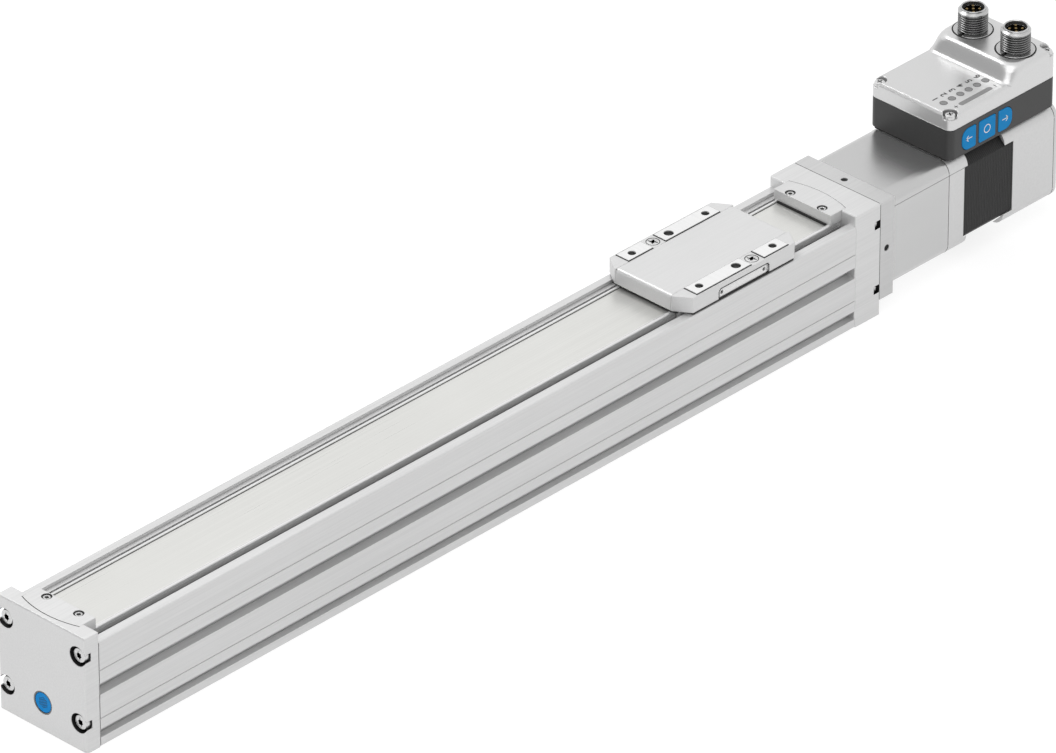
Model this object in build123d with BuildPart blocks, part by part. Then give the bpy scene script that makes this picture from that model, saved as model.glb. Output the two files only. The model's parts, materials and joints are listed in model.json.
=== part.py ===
"""Ball screw linear axis with its motor and controller, in millimetres.

X runs along the axis towards the motor, Z is up, and the origin lies in the middle of
the profile's underside. A ball screw inside an open-topped profile drives a carriage,
whose two webs pass down beside the steel strip that covers the opening.
"""
from build123d import *
from math import cos, pi, sqrt
import os

# Profile
PROFILE_LENGTH = 407.0
PROFILE_WIDTH = 45.0
PROFILE_HEIGHT = 45.0
PROFILE_EDGE_RADIUS = 0.8
CHANNEL_FLOOR = 6.0
SENSOR_SLOT_BOTTOM = 22.3
SENSOR_SLOT_HEIGHT = 4.8
SENSOR_SLOT_DEPTH = 4.4
LOW_SLOT_BOTTOM = 3.9
LOW_SLOT_HEIGHT = 3.6
LOW_SLOT_DEPTH = 3.2
BASE_SLOT_OFFSET = 10.0
CHANNEL_WALL = 1.5
LEDGE_WIDTH = 3.9
LEDGE_DROP = 1.5
MARK_LINE_HEIGHTS = (12.0, 32.7)
MARK_LINE_SIZE = 0.5

# Strip and its two edge rails
STRIP_SIDE_GAP = 0.4
STRIP_THICKNESS = 0.3
STRIP_DROP = 0.6
RAIL_STRIP_WIDTH = 1.3
RAIL_STRIP_HEIGHT = 2.2
RAIL_STRIP_LIP = 1.2

# End caps
CAP_RISE = 4.6
CAP_EDGE = 0.4
FRONT_CAP_THICKNESS = 7.0
DRIVE_CAP_THICKNESS = 14.0
GASKET_THICKNESS = 0.4
GASKET_INSET = 0.4
CAP_SCREW_SIDE_INSET = 3.7
CAP_SCREW_LOW = 11.9
CAP_SCREW_TOP_INSET = 4.2
CAP_SCREW_HEAD_RADIUS = 3.0
CAP_SCREW_HEAD_HEIGHT = 2.4
CAP_SCREW_RADIUS = 1.2
CAP_SCREW_LENGTH = 12.0
CAP_POCKET_RADIUS = 4.1
CAP_POCKET_DEPTH = 3.2
SCREW_CLEARANCE = 0.05
SOCKET_DEPTH = 1.2
VENT_HEIGHT = 12.4
VENT_RADIUS = 4.2
VENT_RIM_RADIUS = 4.8
VENT_RIM_DEPTH = 1.0

# Clamp plates
CLAMP_HALF_WIDTH = 14.8
CLAMP_OVERHANG = 6.0
CLAMP_TIP_INSET = 2.4
CLAMP_ARC_INSET = 5.0
CLAMP_FIT = 0.1
CLAMP_SCREW_OFFSET = 8.3
CLAMP_SCREW_EDGE = 2.2
CLAMP_SCREW_RADIUS = 1.5
CLAMP_RIM_RADIUS = 2.1
CLAMP_RIM_DEPTH = 0.4

# Screw line
SCREW_RADIUS = 5.0
FRONT_JOURNAL_RADIUS = 2.5
DRIVE_JOURNAL_RADIUS = 4.0
SHAFT_RADIUS = 3.0
SCREW_SHOULDER_INSET = 5.0
RUNNING_CLEARANCE = 0.06
FLOATING_BEARING_RADIUS = 8.0
FLOATING_BEARING_WIDTH = 4.6
FIXED_BEARING_RADIUS = 9.5
FIXED_BEARING_PITCH_RADIUS = 7.3
FIXED_BEARING_WIDTH = 4.7
FIXED_BEARING_COUNT = 2
LOCKNUT_RADIUS = 6.5
LOCKNUT_WIDTH = 4.0

# Guide rail
GUIDE_WIDTH = 12.0
GUIDE_HEIGHT = 7.0
GUIDE_END_GAP = 1.0
GUIDE_WAIST = 1.0
RAIL_SCREW_PITCH = 50.0
RAIL_SCREW_RADIUS = 1.5
RAIL_SCREW_HEAD_RADIUS = 2.7
RAIL_SCREW_HEAD_HEIGHT = 2.6

# Carriage, at rest near the drive end
CARRIAGE_SETBACK = 62.4
CARRIAGE_HALF_LENGTH = 32.8
CARRIAGE_HALF_WIDTH = 21.8
CARRIAGE_CUT_LENGTH = 4.5
CARRIAGE_CUT_WIDTH = 6.8
CARRIAGE_GAP = 1.0
CARRIAGE_HEIGHT = 6.6
PAD_RISE = 0.4
COVER_WALL = 1.6
COVER_HALF_WIDTH = 14.2
COVER_JOINT = 0.1
COVER_END_RADIUS = 1.4
PAD_OUTER_END = 25.3
SHORT_PAD_START = 12.2
LONG_PAD_START = -4.6
PAD_INNER_Y = 14.6
PAD_OUTER_Y = 20.9
TABLE_HOLE_X = 20.5
TABLE_HOLE_Y = 17.5
TABLE_THREAD_RADIUS = 1.65
TABLE_THREAD_DEPTH = 6.0
CENTRING_RADIUS = 2.0
CENTRING_DEPTH = 2.1
COVER_SCREW_X = 8.4
COVER_SCREW_Y = 17.9
COVER_SCREW_HEAD_RADIUS = 2.6
COVER_SCREW_RADIUS = 1.2
COVER_SCREW_LENGTH = 4.5
INSERT_HALF_LENGTH = 13.8
INSERT_HEIGHT = 4.0
INSERT_THICKNESS = 1.1
INSERT_HOLE_X = 11.75
INSERT_HOLE_HEIGHT = 1.9
INSERT_SCREW_RADIUS = 0.8
WIPER_THICKNESS = 2.4
WIPER_GAP = 0.3
RUNNER_HALF_LENGTH = 30.0
RUNNER_GAP = 1.3
WEB_GAP = 0.3
WEB_THICKNESS = 1.6
BLOCK_LENGTH = 24.0
BLOCK_HALF_WIDTH = 13.5
BLOCK_RIDE = 2.0
BLOCK_ROOF = 5.2
BLOCK_FIT = 0.1
NUT_RADIUS = 8.5
NUT_FLOOR = 1.6
NUT_LENGTH = 40.0
BUFFER_RADIUS = 12.0
BUFFER_BORE_RADIUS = 8.6
FRONT_BUFFER_LENGTH = 15.7
DRIVE_BUFFER_LENGTH = 11.1

# Adapter, coupling and motor
ADAPTER_THICKNESS = 7.8
ADAPTER_BOTTOM = 6.4
ADAPTER_BORE_RADIUS = 9.0
ADAPTER_HOLE_RADIUS = 1.4
ADAPTER_SET_SCREW_LENGTH = 6.0
ADAPTER_SET_SCREW_SINK = 0.8
MOTOR_SIZE = 42.0
MOTOR_CORNER_RADIUS = 5.5
HOUSING_LENGTH = 33.4
HOUSING_BORE_RADIUS = 14.0
HUB_RADIUS = 10.0
HUB_LENGTH = 11.0
HUB_GAP = 1.5
SPIDER_LENGTH = 5.0
SPIDER_ARMS = 6
SPIDER_ARM_WIDTH = 4.0
SPIDER_CORE_RADIUS = 5.0
SPIDER_ROOT = 0.5
MOTOR_SHAFT_RADIUS = 2.5
FLANGE_LENGTH = 8.8
FLANGE_LUG = 1.8
STATOR_LENGTH = 28.4
STATOR_INSET = 0.3
STATOR_CORNER_CUT = 5.6
STATOR_FIT = 0.1
REAR_LENGTH = 23.8
REAR_LUG = 5.1
END_PLATE_THICKNESS = 1.8
ROTOR_RADIUS = 11.2
ROTOR_GAP = 0.3
ROTOR_END_GAP = 2.0
MOTOR_BEARING_RADIUS = 6.5
MOTOR_BEARING_WIDTH = 4.0
MOTOR_SHAFT_CLEARANCE = 0.7
MOTOR_SCREW_OFFSET = 15.5
MOTOR_SCREW_RADIUS = 1.5
MOTOR_SCREW_HEAD_RADIUS = 2.6
MOTOR_SCREW_HEAD_HEIGHT = 1.0
MOTOR_SCREW_LENGTH = 12.0

# Controller
CONTROLLER_LENGTH = 61.5
CONTROLLER_WIDTH = 42.0
CONTROLLER_CORNER = 3.0
BASE_HEIGHT = 13.7
BASE_WALL = 2.0
BASE_FLOOR = 1.2
BASE_FOOT = 0.8
COVER_SEAL_THICKNESS = 0.2
DECK_HEIGHT = 6.8
RAISED_DECK_HEIGHT = 13.3
RAMP_START = 32.0
RAMP_END = 38.0
RAMP_SLICES = 9
RAMP_CORNER_START = 4.0
RAMP_CORNER_END = 7.5
RAISED_EDGE_RADIUS = 2.8
COVER_EDGE_RADIUS = 1.0
COVER_SHELL = 2.2
COVER_SCREW_INSET = 2.7
COVER_POCKET_RADIUS = 2.9
COVER_POCKET_DEPTH = 2.4
REAR_POCKET_DEPTH = 3.6
SMALL_HEAD_RADIUS = 2.2
SMALL_HEAD_HEIGHT = 1.7
SMALL_SCREW_RADIUS = 1.0
SMALL_SCREW_LENGTH = 8.0
BOSS_RADIUS = 2.6
BOARD_THICKNESS = 1.2
BOARD_INSET_X = 5.5
BOARD_INSET_Y = 5.2
POST_RADIUS = 1.6
POST_HEIGHT = 2.6
POST_SETBACK = 4.0

# Controller connectors, windows and keys
CONNECTOR_OFFSET = 13.1
CONNECTOR_Y = 11.1
CONNECTOR_RADIUS = 5.95
CONNECTOR_BORE_RADIUS = 4.35
CONNECTOR_HEIGHT = 10.2
CONNECTOR_COLLAR_HEIGHT = 1.9
CONNECTOR_COLLAR_RADIUS = 5.4
CONNECTOR_FLANGE_RADIUS = 7.7
CONNECTOR_FLANGE_SINK = 2.0
CONNECTOR_FLANGE_RISE = 0.3
CONNECTOR_SEAL_WIDTH = 0.4
INSERT_PLUG_DEPTH = 5.0
PIN_RADIUS = 0.5
PIN_CIRCLE_RADIUS = 2.5
PIN_COUNT = 4
PIN_HEIGHT = 4.0
WINDOW_COUNT = 6
WINDOW_PITCH = 4.82
WINDOW_FIRST = 6.4
WINDOW_Y = -11.6
WINDOW_RADIUS = 1.5
WINDOW_DEPTH = 0.8
LEVEL_FIRST = 9.5
LEVEL_LENGTH = 18.6
LEVEL_WIDTH = 2.4
LEVEL_Y = -17.0
KEY_HEIGHT = 9.4
KEY_END_WIDTH = 7.8
KEY_MIDDLE_WIDTH = 9.4
KEY_GAP = 1.9
KEY_FIRST = 7.0
KEY_END_RADIUS = 3.8
KEY_CORNER_RADIUS = 0.7
KEY_CLEARANCE = 0.2
KEY_PROUD = 0.15
KEY_FLANGE = 0.6
KEY_FLANGE_THICKNESS = 0.8
KEY_TRAVEL = 0.4

# Places along X
x_profile_front = -PROFILE_LENGTH / 2
x_profile_back = PROFILE_LENGTH / 2
x_cap_back = x_profile_front - GASKET_THICKNESS
x_cap_front = x_cap_back - FRONT_CAP_THICKNESS
x_drive_cap_back = x_profile_back + DRIVE_CAP_THICKNESS
x_adapter_back = x_drive_cap_back + ADAPTER_THICKNESS
x_housing_back = x_adapter_back + HOUSING_LENGTH
x_flange_back = x_housing_back + FLANGE_LENGTH
x_stator_back = x_flange_back + STATOR_LENGTH
x_rear_back = x_stator_back + REAR_LENGTH
x_controller = x_housing_back
x_controller_back = x_controller + CONTROLLER_LENGTH

# Shared heights and widths
cap_height = PROFILE_HEIGHT + CAP_RISE
guide_top = CHANNEL_FLOOR + GUIDE_HEIGHT
block_bottom = CHANNEL_FLOOR + BLOCK_RIDE
block_top = guide_top + BLOCK_ROOF
axis_height = block_top + NUT_FLOOR + NUT_RADIUS
runner_top = PROFILE_HEIGHT - RAIL_STRIP_HEIGHT - RUNNER_GAP
carriage_x = x_profile_back - CARRIAGE_SETBACK
carriage_bottom = PROFILE_HEIGHT + CARRIAGE_GAP
carriage_top = carriage_bottom + CARRIAGE_HEIGHT
pad_top = carriage_top + PAD_RISE
channel_half = PROFILE_WIDTH / 2 - SENSOR_SLOT_DEPTH - CHANNEL_WALL
groove_outer = PROFILE_WIDTH / 2 - LEDGE_WIDTH
strip_top = PROFILE_HEIGHT - STRIP_DROP
strip_bottom = strip_top - STRIP_THICKNESS
web_outer = channel_half - WEB_GAP
web_inner = web_outer - WEB_THICKNESS
rail_strip_outer = web_inner - STRIP_SIDE_GAP
strip_half_width = rail_strip_outer - RAIL_STRIP_WIDTH
motor_top = axis_height + MOTOR_SIZE / 2
base_top = motor_top + BASE_HEIGHT
cover_bottom = base_top + COVER_SEAL_THICKNESS
deck_top = cover_bottom + DECK_HEIGHT
raised_top = cover_bottom + RAISED_DECK_HEIGHT
cap_screw_y = PROFILE_WIDTH / 2 - CAP_SCREW_SIDE_INSET
cap_screw_heights = (CAP_SCREW_LOW, PROFILE_HEIGHT - CAP_SCREW_TOP_INSET)
cap_screw_places = [(y, z) for y in (-cap_screw_y, cap_screw_y) for z in cap_screw_heights]
sides = (-1, 1)

os.makedirs("parts", exist_ok=True)


def save(part, label):
    """Label a finished piece and write it."""
    part.label = label
    export_step(part, f"parts/{label}.step")


def ring(x_start, x_end, radius, bore=0.0):
    """A disc or ring on the screw line between two places on X."""
    with BuildPart() as piece:
        with BuildSketch(Plane.YZ.offset(x_start)):
            with Locations((0, axis_height)):
                Circle(radius)
                if bore:
                    Circle(bore, mode=Mode.SUBTRACT)
        extrude(amount=x_end - x_start)
    return piece.part


def clamp_block(side, grow, bottom, top):
    """The D shape of a clamp plate at one end of the profile, grown for its pocket."""
    x_end = side * PROFILE_LENGTH / 2
    x_chord = x_end - side * CLAMP_OVERHANG
    x_tip = x_end + side * (CLAMP_TIP_INSET + grow)
    x_arc = x_end + side * (CLAMP_ARC_INSET + grow)
    half = CLAMP_HALF_WIDTH + grow
    with BuildPart() as block:
        with BuildSketch(Plane.XY.offset(bottom)):
            with BuildLine():
                Polyline((x_tip, half), (x_chord, half), (x_chord, -half), (x_tip, -half))
                ThreePointArc((x_tip, -half), (x_arc, 0), (x_tip, half))
            make_face()
        extrude(amount=top - bottom)
    return block.part


def cap_screw(x_seat, y, z, direction):
    """A socket screw whose head stands on x_seat, its shank pointing along direction."""
    head_plane = Plane.YZ.offset(x_seat)
    with BuildPart() as screw:
        with BuildSketch(head_plane):
            with Locations((y, z)):
                Circle(CAP_SCREW_HEAD_RADIUS)
        extrude(amount=-direction * CAP_SCREW_HEAD_HEIGHT)
        with BuildSketch(head_plane):
            with Locations((y, z)):
                Circle(CAP_SCREW_RADIUS)
        extrude(amount=direction * CAP_SCREW_LENGTH)
        with BuildSketch(Plane.YZ.offset(x_seat - direction * CAP_SCREW_HEAD_HEIGHT)):
            with Locations((y, z)):
                RegularPolygon(CAP_SCREW_RADIUS, 6)
        extrude(amount=direction * SOCKET_DEPTH, mode=Mode.SUBTRACT)
    return screw.part


def carriage_block(inset, bottom, top):
    """The carriage's outline with its four cut corners, inset from the outside."""
    half_length = CARRIAGE_HALF_LENGTH - inset
    half_width = CARRIAGE_HALF_WIDTH - inset
    with BuildPart() as block:
        with BuildSketch(Plane.XY.offset(bottom)):
            with Locations((carriage_x, 0)):
                Rectangle(2 * half_length, 2 * half_width)
            with BuildSketch(mode=Mode.SUBTRACT):
                for x_side in sides:
                    for y_side in sides:
                        x_corner = carriage_x + x_side * half_length
                        y_corner = y_side * half_width
                        with BuildLine():
                            Polyline(
                                (x_corner, y_corner),
                                (x_corner - x_side * CARRIAGE_CUT_LENGTH, y_corner),
                                (x_corner, y_corner - y_side * CARRIAGE_CUT_WIDTH),
                                close=True,
                            )
                        make_face()
        extrude(amount=top - bottom)
    return block.part


def pad_places():
    """Start, end and side of the four pads, the same after a half turn."""
    places = []
    for side in sides:
        for start in (SHORT_PAD_START, LONG_PAD_START):
            towards = -side if start == SHORT_PAD_START else side
            places.append((towards * start, towards * PAD_OUTER_END, side))
    return places


def pads(grow, bottom, top):
    """The four raised pads of the table, grown for their windows in the covers."""
    with BuildPart() as piece:
        with BuildSketch(Plane.XY.offset(bottom)):
            for start, end, side in pad_places():
                y_middle = side * (PAD_INNER_Y + PAD_OUTER_Y) / 2
                with Locations((carriage_x + (start + end) / 2, y_middle)):
                    Rectangle(abs(end - start) + 2 * grow, PAD_OUTER_Y - PAD_INNER_Y + 2 * grow)
        extrude(amount=top - bottom)
    return piece.part


def motor_section(x_start, x_end):
    """A length of the motor's rounded square section."""
    with BuildPart() as piece:
        with BuildSketch(Plane.YZ.offset(x_start)):
            with Locations((0, axis_height)):
                RectangleRounded(MOTOR_SIZE, MOTOR_SIZE, MOTOR_CORNER_RADIUS)
        extrude(amount=x_end - x_start)
    return piece.part


def stator_section(x_start, x_end, grow):
    """The stator's square with its corners cut, grown to seat in the housings."""
    size = MOTOR_SIZE - 2 * STATOR_INSET + 2 * grow
    with BuildPart() as piece:
        with BuildSketch(Plane.YZ.offset(x_start)) as section:
            with Locations((0, axis_height)):
                Rectangle(size, size)
            chamfer(section.vertices(), STATOR_CORNER_CUT)
        extrude(amount=x_end - x_start)
    return piece.part


def controller_outline_block(inset, bottom, top):
    """The controller's rounded outline, inset from the outside."""
    with BuildPart() as block:
        with BuildSketch(Plane.XY.offset(bottom)):
            with Locations((x_controller + CONTROLLER_LENGTH / 2, 0)):
                RectangleRounded(
                    CONTROLLER_LENGTH - 2 * inset,
                    CONTROLLER_WIDTH - 2 * inset,
                    CONTROLLER_CORNER - min(inset, CONTROLLER_CORNER / 2),
                )
        extrude(amount=top - bottom)
    return block.part


# Profile: one extruded section, open at the top between its two ledges
with BuildPart() as profile:
    with BuildSketch(Plane.YZ.offset(x_profile_front)) as section:
        with Locations((0, PROFILE_HEIGHT / 2)):
            Rectangle(PROFILE_WIDTH, PROFILE_HEIGHT)
        fillet(section.vertices().group_by(Axis.Z)[0], PROFILE_EDGE_RADIUS)
        with Locations((0, (CHANNEL_FLOOR + PROFILE_HEIGHT) / 2)):
            Rectangle(2 * channel_half, PROFILE_HEIGHT - CHANNEL_FLOOR, mode=Mode.SUBTRACT)
        with Locations((0, PROFILE_HEIGHT - LEDGE_DROP / 2)):
            Rectangle(2 * groove_outer, LEDGE_DROP, mode=Mode.SUBTRACT)
        for side in sides:
            face_y = side * PROFILE_WIDTH / 2
            with Locations((face_y, SENSOR_SLOT_BOTTOM + SENSOR_SLOT_HEIGHT / 2)):
                Rectangle(2 * SENSOR_SLOT_DEPTH, SENSOR_SLOT_HEIGHT, mode=Mode.SUBTRACT)
            with Locations((face_y, LOW_SLOT_BOTTOM + LOW_SLOT_HEIGHT / 2)):
                Rectangle(2 * LOW_SLOT_DEPTH, LOW_SLOT_HEIGHT, mode=Mode.SUBTRACT)
            with Locations((side * BASE_SLOT_OFFSET, 0)):
                Rectangle(LOW_SLOT_HEIGHT, 2 * LOW_SLOT_DEPTH, mode=Mode.SUBTRACT)
            for height in MARK_LINE_HEIGHTS:
                with Locations((face_y, height)):
                    Rectangle(MARK_LINE_SIZE, MARK_LINE_SIZE, rotation=45, mode=Mode.SUBTRACT)
        with Locations(*cap_screw_places):
            Circle(CAP_SCREW_RADIUS + SCREW_CLEARANCE, mode=Mode.SUBTRACT)
    extrude(amount=PROFILE_LENGTH)
save(profile.part, "profile")

# Front gasket: the dark line between cap and profile
with BuildPart() as front_cap_gasket:
    with BuildSketch(Plane.YZ.offset(x_cap_back)):
        with Locations((0, PROFILE_HEIGHT / 2)):
            Rectangle(PROFILE_WIDTH - 2 * GASKET_INSET, PROFILE_HEIGHT - 2 * GASKET_INSET)
        with Locations((0, (CHANNEL_FLOOR + PROFILE_HEIGHT) / 2)):
            Rectangle(2 * channel_half, PROFILE_HEIGHT - CHANNEL_FLOOR, mode=Mode.SUBTRACT)
        for side in sides:
            with Locations((side * PROFILE_WIDTH / 2, SENSOR_SLOT_BOTTOM + SENSOR_SLOT_HEIGHT / 2)):
                Rectangle(2 * SENSOR_SLOT_DEPTH, SENSOR_SLOT_HEIGHT, mode=Mode.SUBTRACT)
        with Locations(*cap_screw_places):
            Circle(CAP_SCREW_RADIUS + SCREW_CLEARANCE, mode=Mode.SUBTRACT)
    extrude(amount=GASKET_THICKNESS)
save(front_cap_gasket.part, "front_cap_gasket")

# Front cap: blind seat for the floating bearing, open-sided screw pockets, vent hole
front_pocket = clamp_block(-1, CLAMP_FIT, PROFILE_HEIGHT, cap_height)
x_front_bearing = x_cap_back - FLOATING_BEARING_WIDTH
with BuildPart() as front_cap:
    with BuildSketch(Plane.YZ.offset(x_cap_front)):
        with Locations((0, cap_height / 2)):
            Rectangle(PROFILE_WIDTH, cap_height)
    extrude(amount=FRONT_CAP_THICKNESS)
    chamfer(front_cap.faces().sort_by(Axis.X)[0].edges(), CAP_EDGE)
    add(front_pocket, mode=Mode.SUBTRACT)
    with BuildSketch(Plane.YZ.offset(x_cap_front)):
        with Locations(*cap_screw_places):
            Circle(CAP_POCKET_RADIUS)
    extrude(amount=CAP_POCKET_DEPTH, mode=Mode.SUBTRACT)
    with BuildSketch(Plane.YZ.offset(x_cap_front)):
        with Locations(*cap_screw_places):
            Circle(CAP_SCREW_RADIUS + SCREW_CLEARANCE)
        with Locations((0, VENT_HEIGHT)):
            Circle(VENT_RADIUS)
    extrude(amount=FRONT_CAP_THICKNESS, mode=Mode.SUBTRACT)
    with BuildSketch(Plane.YZ.offset(x_cap_front)):
        with Locations((0, VENT_HEIGHT)):
            Circle(VENT_RIM_RADIUS)
    extrude(amount=VENT_RIM_DEPTH, mode=Mode.SUBTRACT)
    with BuildSketch(Plane.YZ.offset(x_front_bearing)):
        with Locations((0, axis_height)):
            Circle(FLOATING_BEARING_RADIUS)
    extrude(amount=FLOATING_BEARING_WIDTH, mode=Mode.SUBTRACT)
save(front_cap.part, "front_cap")

with BuildPart() as vent_plug:
    with BuildSketch(Plane.YZ.offset(x_cap_front)):
        with Locations((0, VENT_HEIGHT)):
            Circle(VENT_RIM_RADIUS)
    extrude(amount=VENT_RIM_DEPTH)
    with BuildSketch(Plane.YZ.offset(x_cap_front)):
        with Locations((0, VENT_HEIGHT)):
            Circle(VENT_RADIUS)
    extrude(amount=FRONT_CAP_THICKNESS)
    chamfer(vent_plug.faces().sort_by(Axis.X)[0].edges(), VENT_RIM_DEPTH / 4)
save(vent_plug.part, "vent_plug")

with BuildPart() as front_cap_screws:
    for y, z in cap_screw_places:
        add(cap_screw(x_cap_front + CAP_POCKET_DEPTH, y, z, 1))
save(front_cap_screws.part, "front_cap_screws")

floating_bearing = ring(
    x_front_bearing, x_cap_back, FLOATING_BEARING_RADIUS, FRONT_JOURNAL_RADIUS + RUNNING_CLEARANCE
)
save(floating_bearing, "floating_bearing")

# Drive cap: holds the fixed bearings, its screw heads lie in pockets at the rear
drive_pocket = clamp_block(1, CLAMP_FIT, PROFILE_HEIGHT, cap_height)
x_fixed_bearings = x_drive_cap_back - FIXED_BEARING_COUNT * FIXED_BEARING_WIDTH
with BuildPart() as drive_cap:
    with BuildSketch(Plane.YZ.offset(x_profile_back)):
        with Locations((0, cap_height / 2)):
            Rectangle(PROFILE_WIDTH, cap_height)
    extrude(amount=DRIVE_CAP_THICKNESS)
    chamfer(drive_cap.faces().sort_by(Axis.X)[0].edges(), CAP_EDGE)
    add(drive_pocket, mode=Mode.SUBTRACT)
    with BuildSketch(Plane.YZ.offset(x_drive_cap_back)):
        with Locations(*cap_screw_places):
            Circle(CAP_POCKET_RADIUS)
    extrude(amount=-CAP_POCKET_DEPTH, mode=Mode.SUBTRACT)
    with BuildSketch(Plane.YZ.offset(x_profile_back)):
        with Locations(*cap_screw_places):
            Circle(CAP_SCREW_RADIUS + SCREW_CLEARANCE)
        with Locations((0, axis_height)):
            Circle(FIXED_BEARING_PITCH_RADIUS)
    extrude(amount=DRIVE_CAP_THICKNESS, mode=Mode.SUBTRACT)
    with BuildSketch(Plane.YZ.offset(x_fixed_bearings)):
        with Locations((0, axis_height)):
            Circle(FIXED_BEARING_RADIUS)
    extrude(amount=x_drive_cap_back - x_fixed_bearings, mode=Mode.SUBTRACT)
save(drive_cap.part, "drive_cap")

with BuildPart() as drive_cap_screws:
    for y, z in cap_screw_places:
        add(cap_screw(x_drive_cap_back - CAP_POCKET_DEPTH, y, z, -1))
save(drive_cap_screws.part, "drive_cap_screws")

with BuildPart() as fixed_bearing_outer_rings:
    for number in range(FIXED_BEARING_COUNT):
        x_ring = x_fixed_bearings + number * FIXED_BEARING_WIDTH
        add(
            ring(
                x_ring,
                x_ring + FIXED_BEARING_WIDTH,
                FIXED_BEARING_RADIUS,
                FIXED_BEARING_PITCH_RADIUS + RUNNING_CLEARANCE,
            )
        )
save(fixed_bearing_outer_rings.part, "fixed_bearing_outer_rings")

# Clamp plates: D-shaped, a low pad beneath each one holds the strip down
for side, name in ((-1, "front_clamp_plate"), (1, "drive_clamp_plate")):
    x_end = side * PROFILE_LENGTH / 2
    x_screw = x_end - side * (CLAMP_OVERHANG - CLAMP_SCREW_EDGE)
    plate_body = clamp_block(side, 0, PROFILE_HEIGHT, cap_height)
    with BuildPart() as clamp_plate:
        add(plate_body)
        with BuildSketch(Plane.XY.offset(PROFILE_HEIGHT)):
            with Locations((x_end - side * CLAMP_OVERHANG / 2, 0)):
                Rectangle(CLAMP_OVERHANG, 2 * strip_half_width - 2 * CLAMP_FIT)
        extrude(amount=-STRIP_DROP)
        with BuildSketch(Plane.XY.offset(cap_height)):
            with Locations((x_screw, -CLAMP_SCREW_OFFSET), (x_screw, CLAMP_SCREW_OFFSET)):
                Circle(CLAMP_SCREW_RADIUS)
        extrude(amount=-(cap_height - strip_top), mode=Mode.SUBTRACT)
        with BuildSketch(Plane.XY.offset(cap_height)):
            with Locations((x_screw, -CLAMP_SCREW_OFFSET), (x_screw, CLAMP_SCREW_OFFSET)):
                Circle(CLAMP_RIM_RADIUS)
        extrude(amount=-CLAMP_RIM_DEPTH, mode=Mode.SUBTRACT)
    save(clamp_plate.part, name)

with BuildPart() as clamp_screws:
    for side in sides:
        x_screw = side * (PROFILE_LENGTH / 2 - CLAMP_OVERHANG + CLAMP_SCREW_EDGE)
        places = [(x_screw, -CLAMP_SCREW_OFFSET), (x_screw, CLAMP_SCREW_OFFSET)]
        with BuildSketch(Plane.XY.offset(strip_top)):
            with Locations(*places):
                Circle(CLAMP_SCREW_RADIUS)
        extrude(amount=cap_height - strip_top - CLAMP_RIM_DEPTH)
        with BuildSketch(Plane.XY.offset(cap_height - CLAMP_RIM_DEPTH)):
            with Locations(*places):
                RegularPolygon(CLAMP_SCREW_RADIUS / 2, 6)
        extrude(amount=-SOCKET_DEPTH, mode=Mode.SUBTRACT)
save(clamp_screws.part, "clamp_screws")

# Strip and the two rails that carry its edges
with BuildPart() as cover_strip:
    with BuildSketch(Plane.YZ.offset(x_profile_front)):
        with Locations((0, (strip_bottom + strip_top) / 2)):
            Rectangle(2 * strip_half_width, STRIP_THICKNESS)
    extrude(amount=PROFILE_LENGTH)
save(cover_strip.part, "cover_strip")

with BuildPart() as strip_edge_rails:
    with BuildSketch(Plane.YZ.offset(x_profile_front)):
        for side in sides:
            y_edge = side * (strip_half_width + RAIL_STRIP_WIDTH / 2)
            with Locations((y_edge, PROFILE_HEIGHT - RAIL_STRIP_HEIGHT / 2)):
                Rectangle(RAIL_STRIP_WIDTH, RAIL_STRIP_HEIGHT)
            lip_height = strip_bottom - (PROFILE_HEIGHT - RAIL_STRIP_HEIGHT)
            y_lip = side * (strip_half_width - RAIL_STRIP_LIP / 2)
            with Locations((y_lip, strip_bottom - lip_height / 2)):
                Rectangle(RAIL_STRIP_LIP, lip_height)
    extrude(amount=PROFILE_LENGTH)
save(strip_edge_rails.part, "strip_edge_rails")

# Guide rail on the channel's floor
guide_length = PROFILE_LENGTH - 2 * GUIDE_END_GAP
rail_screw_count = int(guide_length // RAIL_SCREW_PITCH)
rail_screw_span = (rail_screw_count - 1) * RAIL_SCREW_PITCH
rail_screw_places = [
    (number * RAIL_SCREW_PITCH - rail_screw_span / 2, 0) for number in range(rail_screw_count)
]
with BuildPart() as guide_rail:
    with BuildSketch(Plane.YZ.offset(-guide_length / 2)):
        with Locations((0, CHANNEL_FLOOR + GUIDE_HEIGHT / 2)):
            Rectangle(GUIDE_WIDTH, GUIDE_HEIGHT)
        for side in sides:
            with Locations((side * GUIDE_WIDTH / 2, CHANNEL_FLOOR + GUIDE_HEIGHT / 2)):
                Rectangle(GUIDE_WAIST, GUIDE_WAIST, rotation=45, mode=Mode.SUBTRACT)
    extrude(amount=guide_length)
    with BuildSketch(Plane.XY.offset(guide_top)):
        with Locations(*rail_screw_places):
            Circle(RAIL_SCREW_HEAD_RADIUS + SCREW_CLEARANCE)
    extrude(amount=-RAIL_SCREW_HEAD_HEIGHT - SOCKET_DEPTH / 2, mode=Mode.SUBTRACT)
    with BuildSketch(Plane.XY.offset(guide_top)):
        with Locations(*rail_screw_places):
            Circle(RAIL_SCREW_RADIUS + SCREW_CLEARANCE)
    extrude(amount=-GUIDE_HEIGHT, mode=Mode.SUBTRACT)
save(guide_rail.part, "guide_rail")

rail_head_seat = guide_top - RAIL_SCREW_HEAD_HEIGHT - SOCKET_DEPTH / 2
with BuildPart() as rail_screws:
    with BuildSketch(Plane.XY.offset(rail_head_seat)):
        with Locations(*rail_screw_places):
            Circle(RAIL_SCREW_HEAD_RADIUS)
    extrude(amount=RAIL_SCREW_HEAD_HEIGHT)
    with BuildSketch(Plane.XY.offset(CHANNEL_FLOOR)):
        with Locations(*rail_screw_places):
            Circle(RAIL_SCREW_RADIUS)
    extrude(amount=rail_head_seat - CHANNEL_FLOOR)
save(rail_screws.part, "rail_screws")

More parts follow.
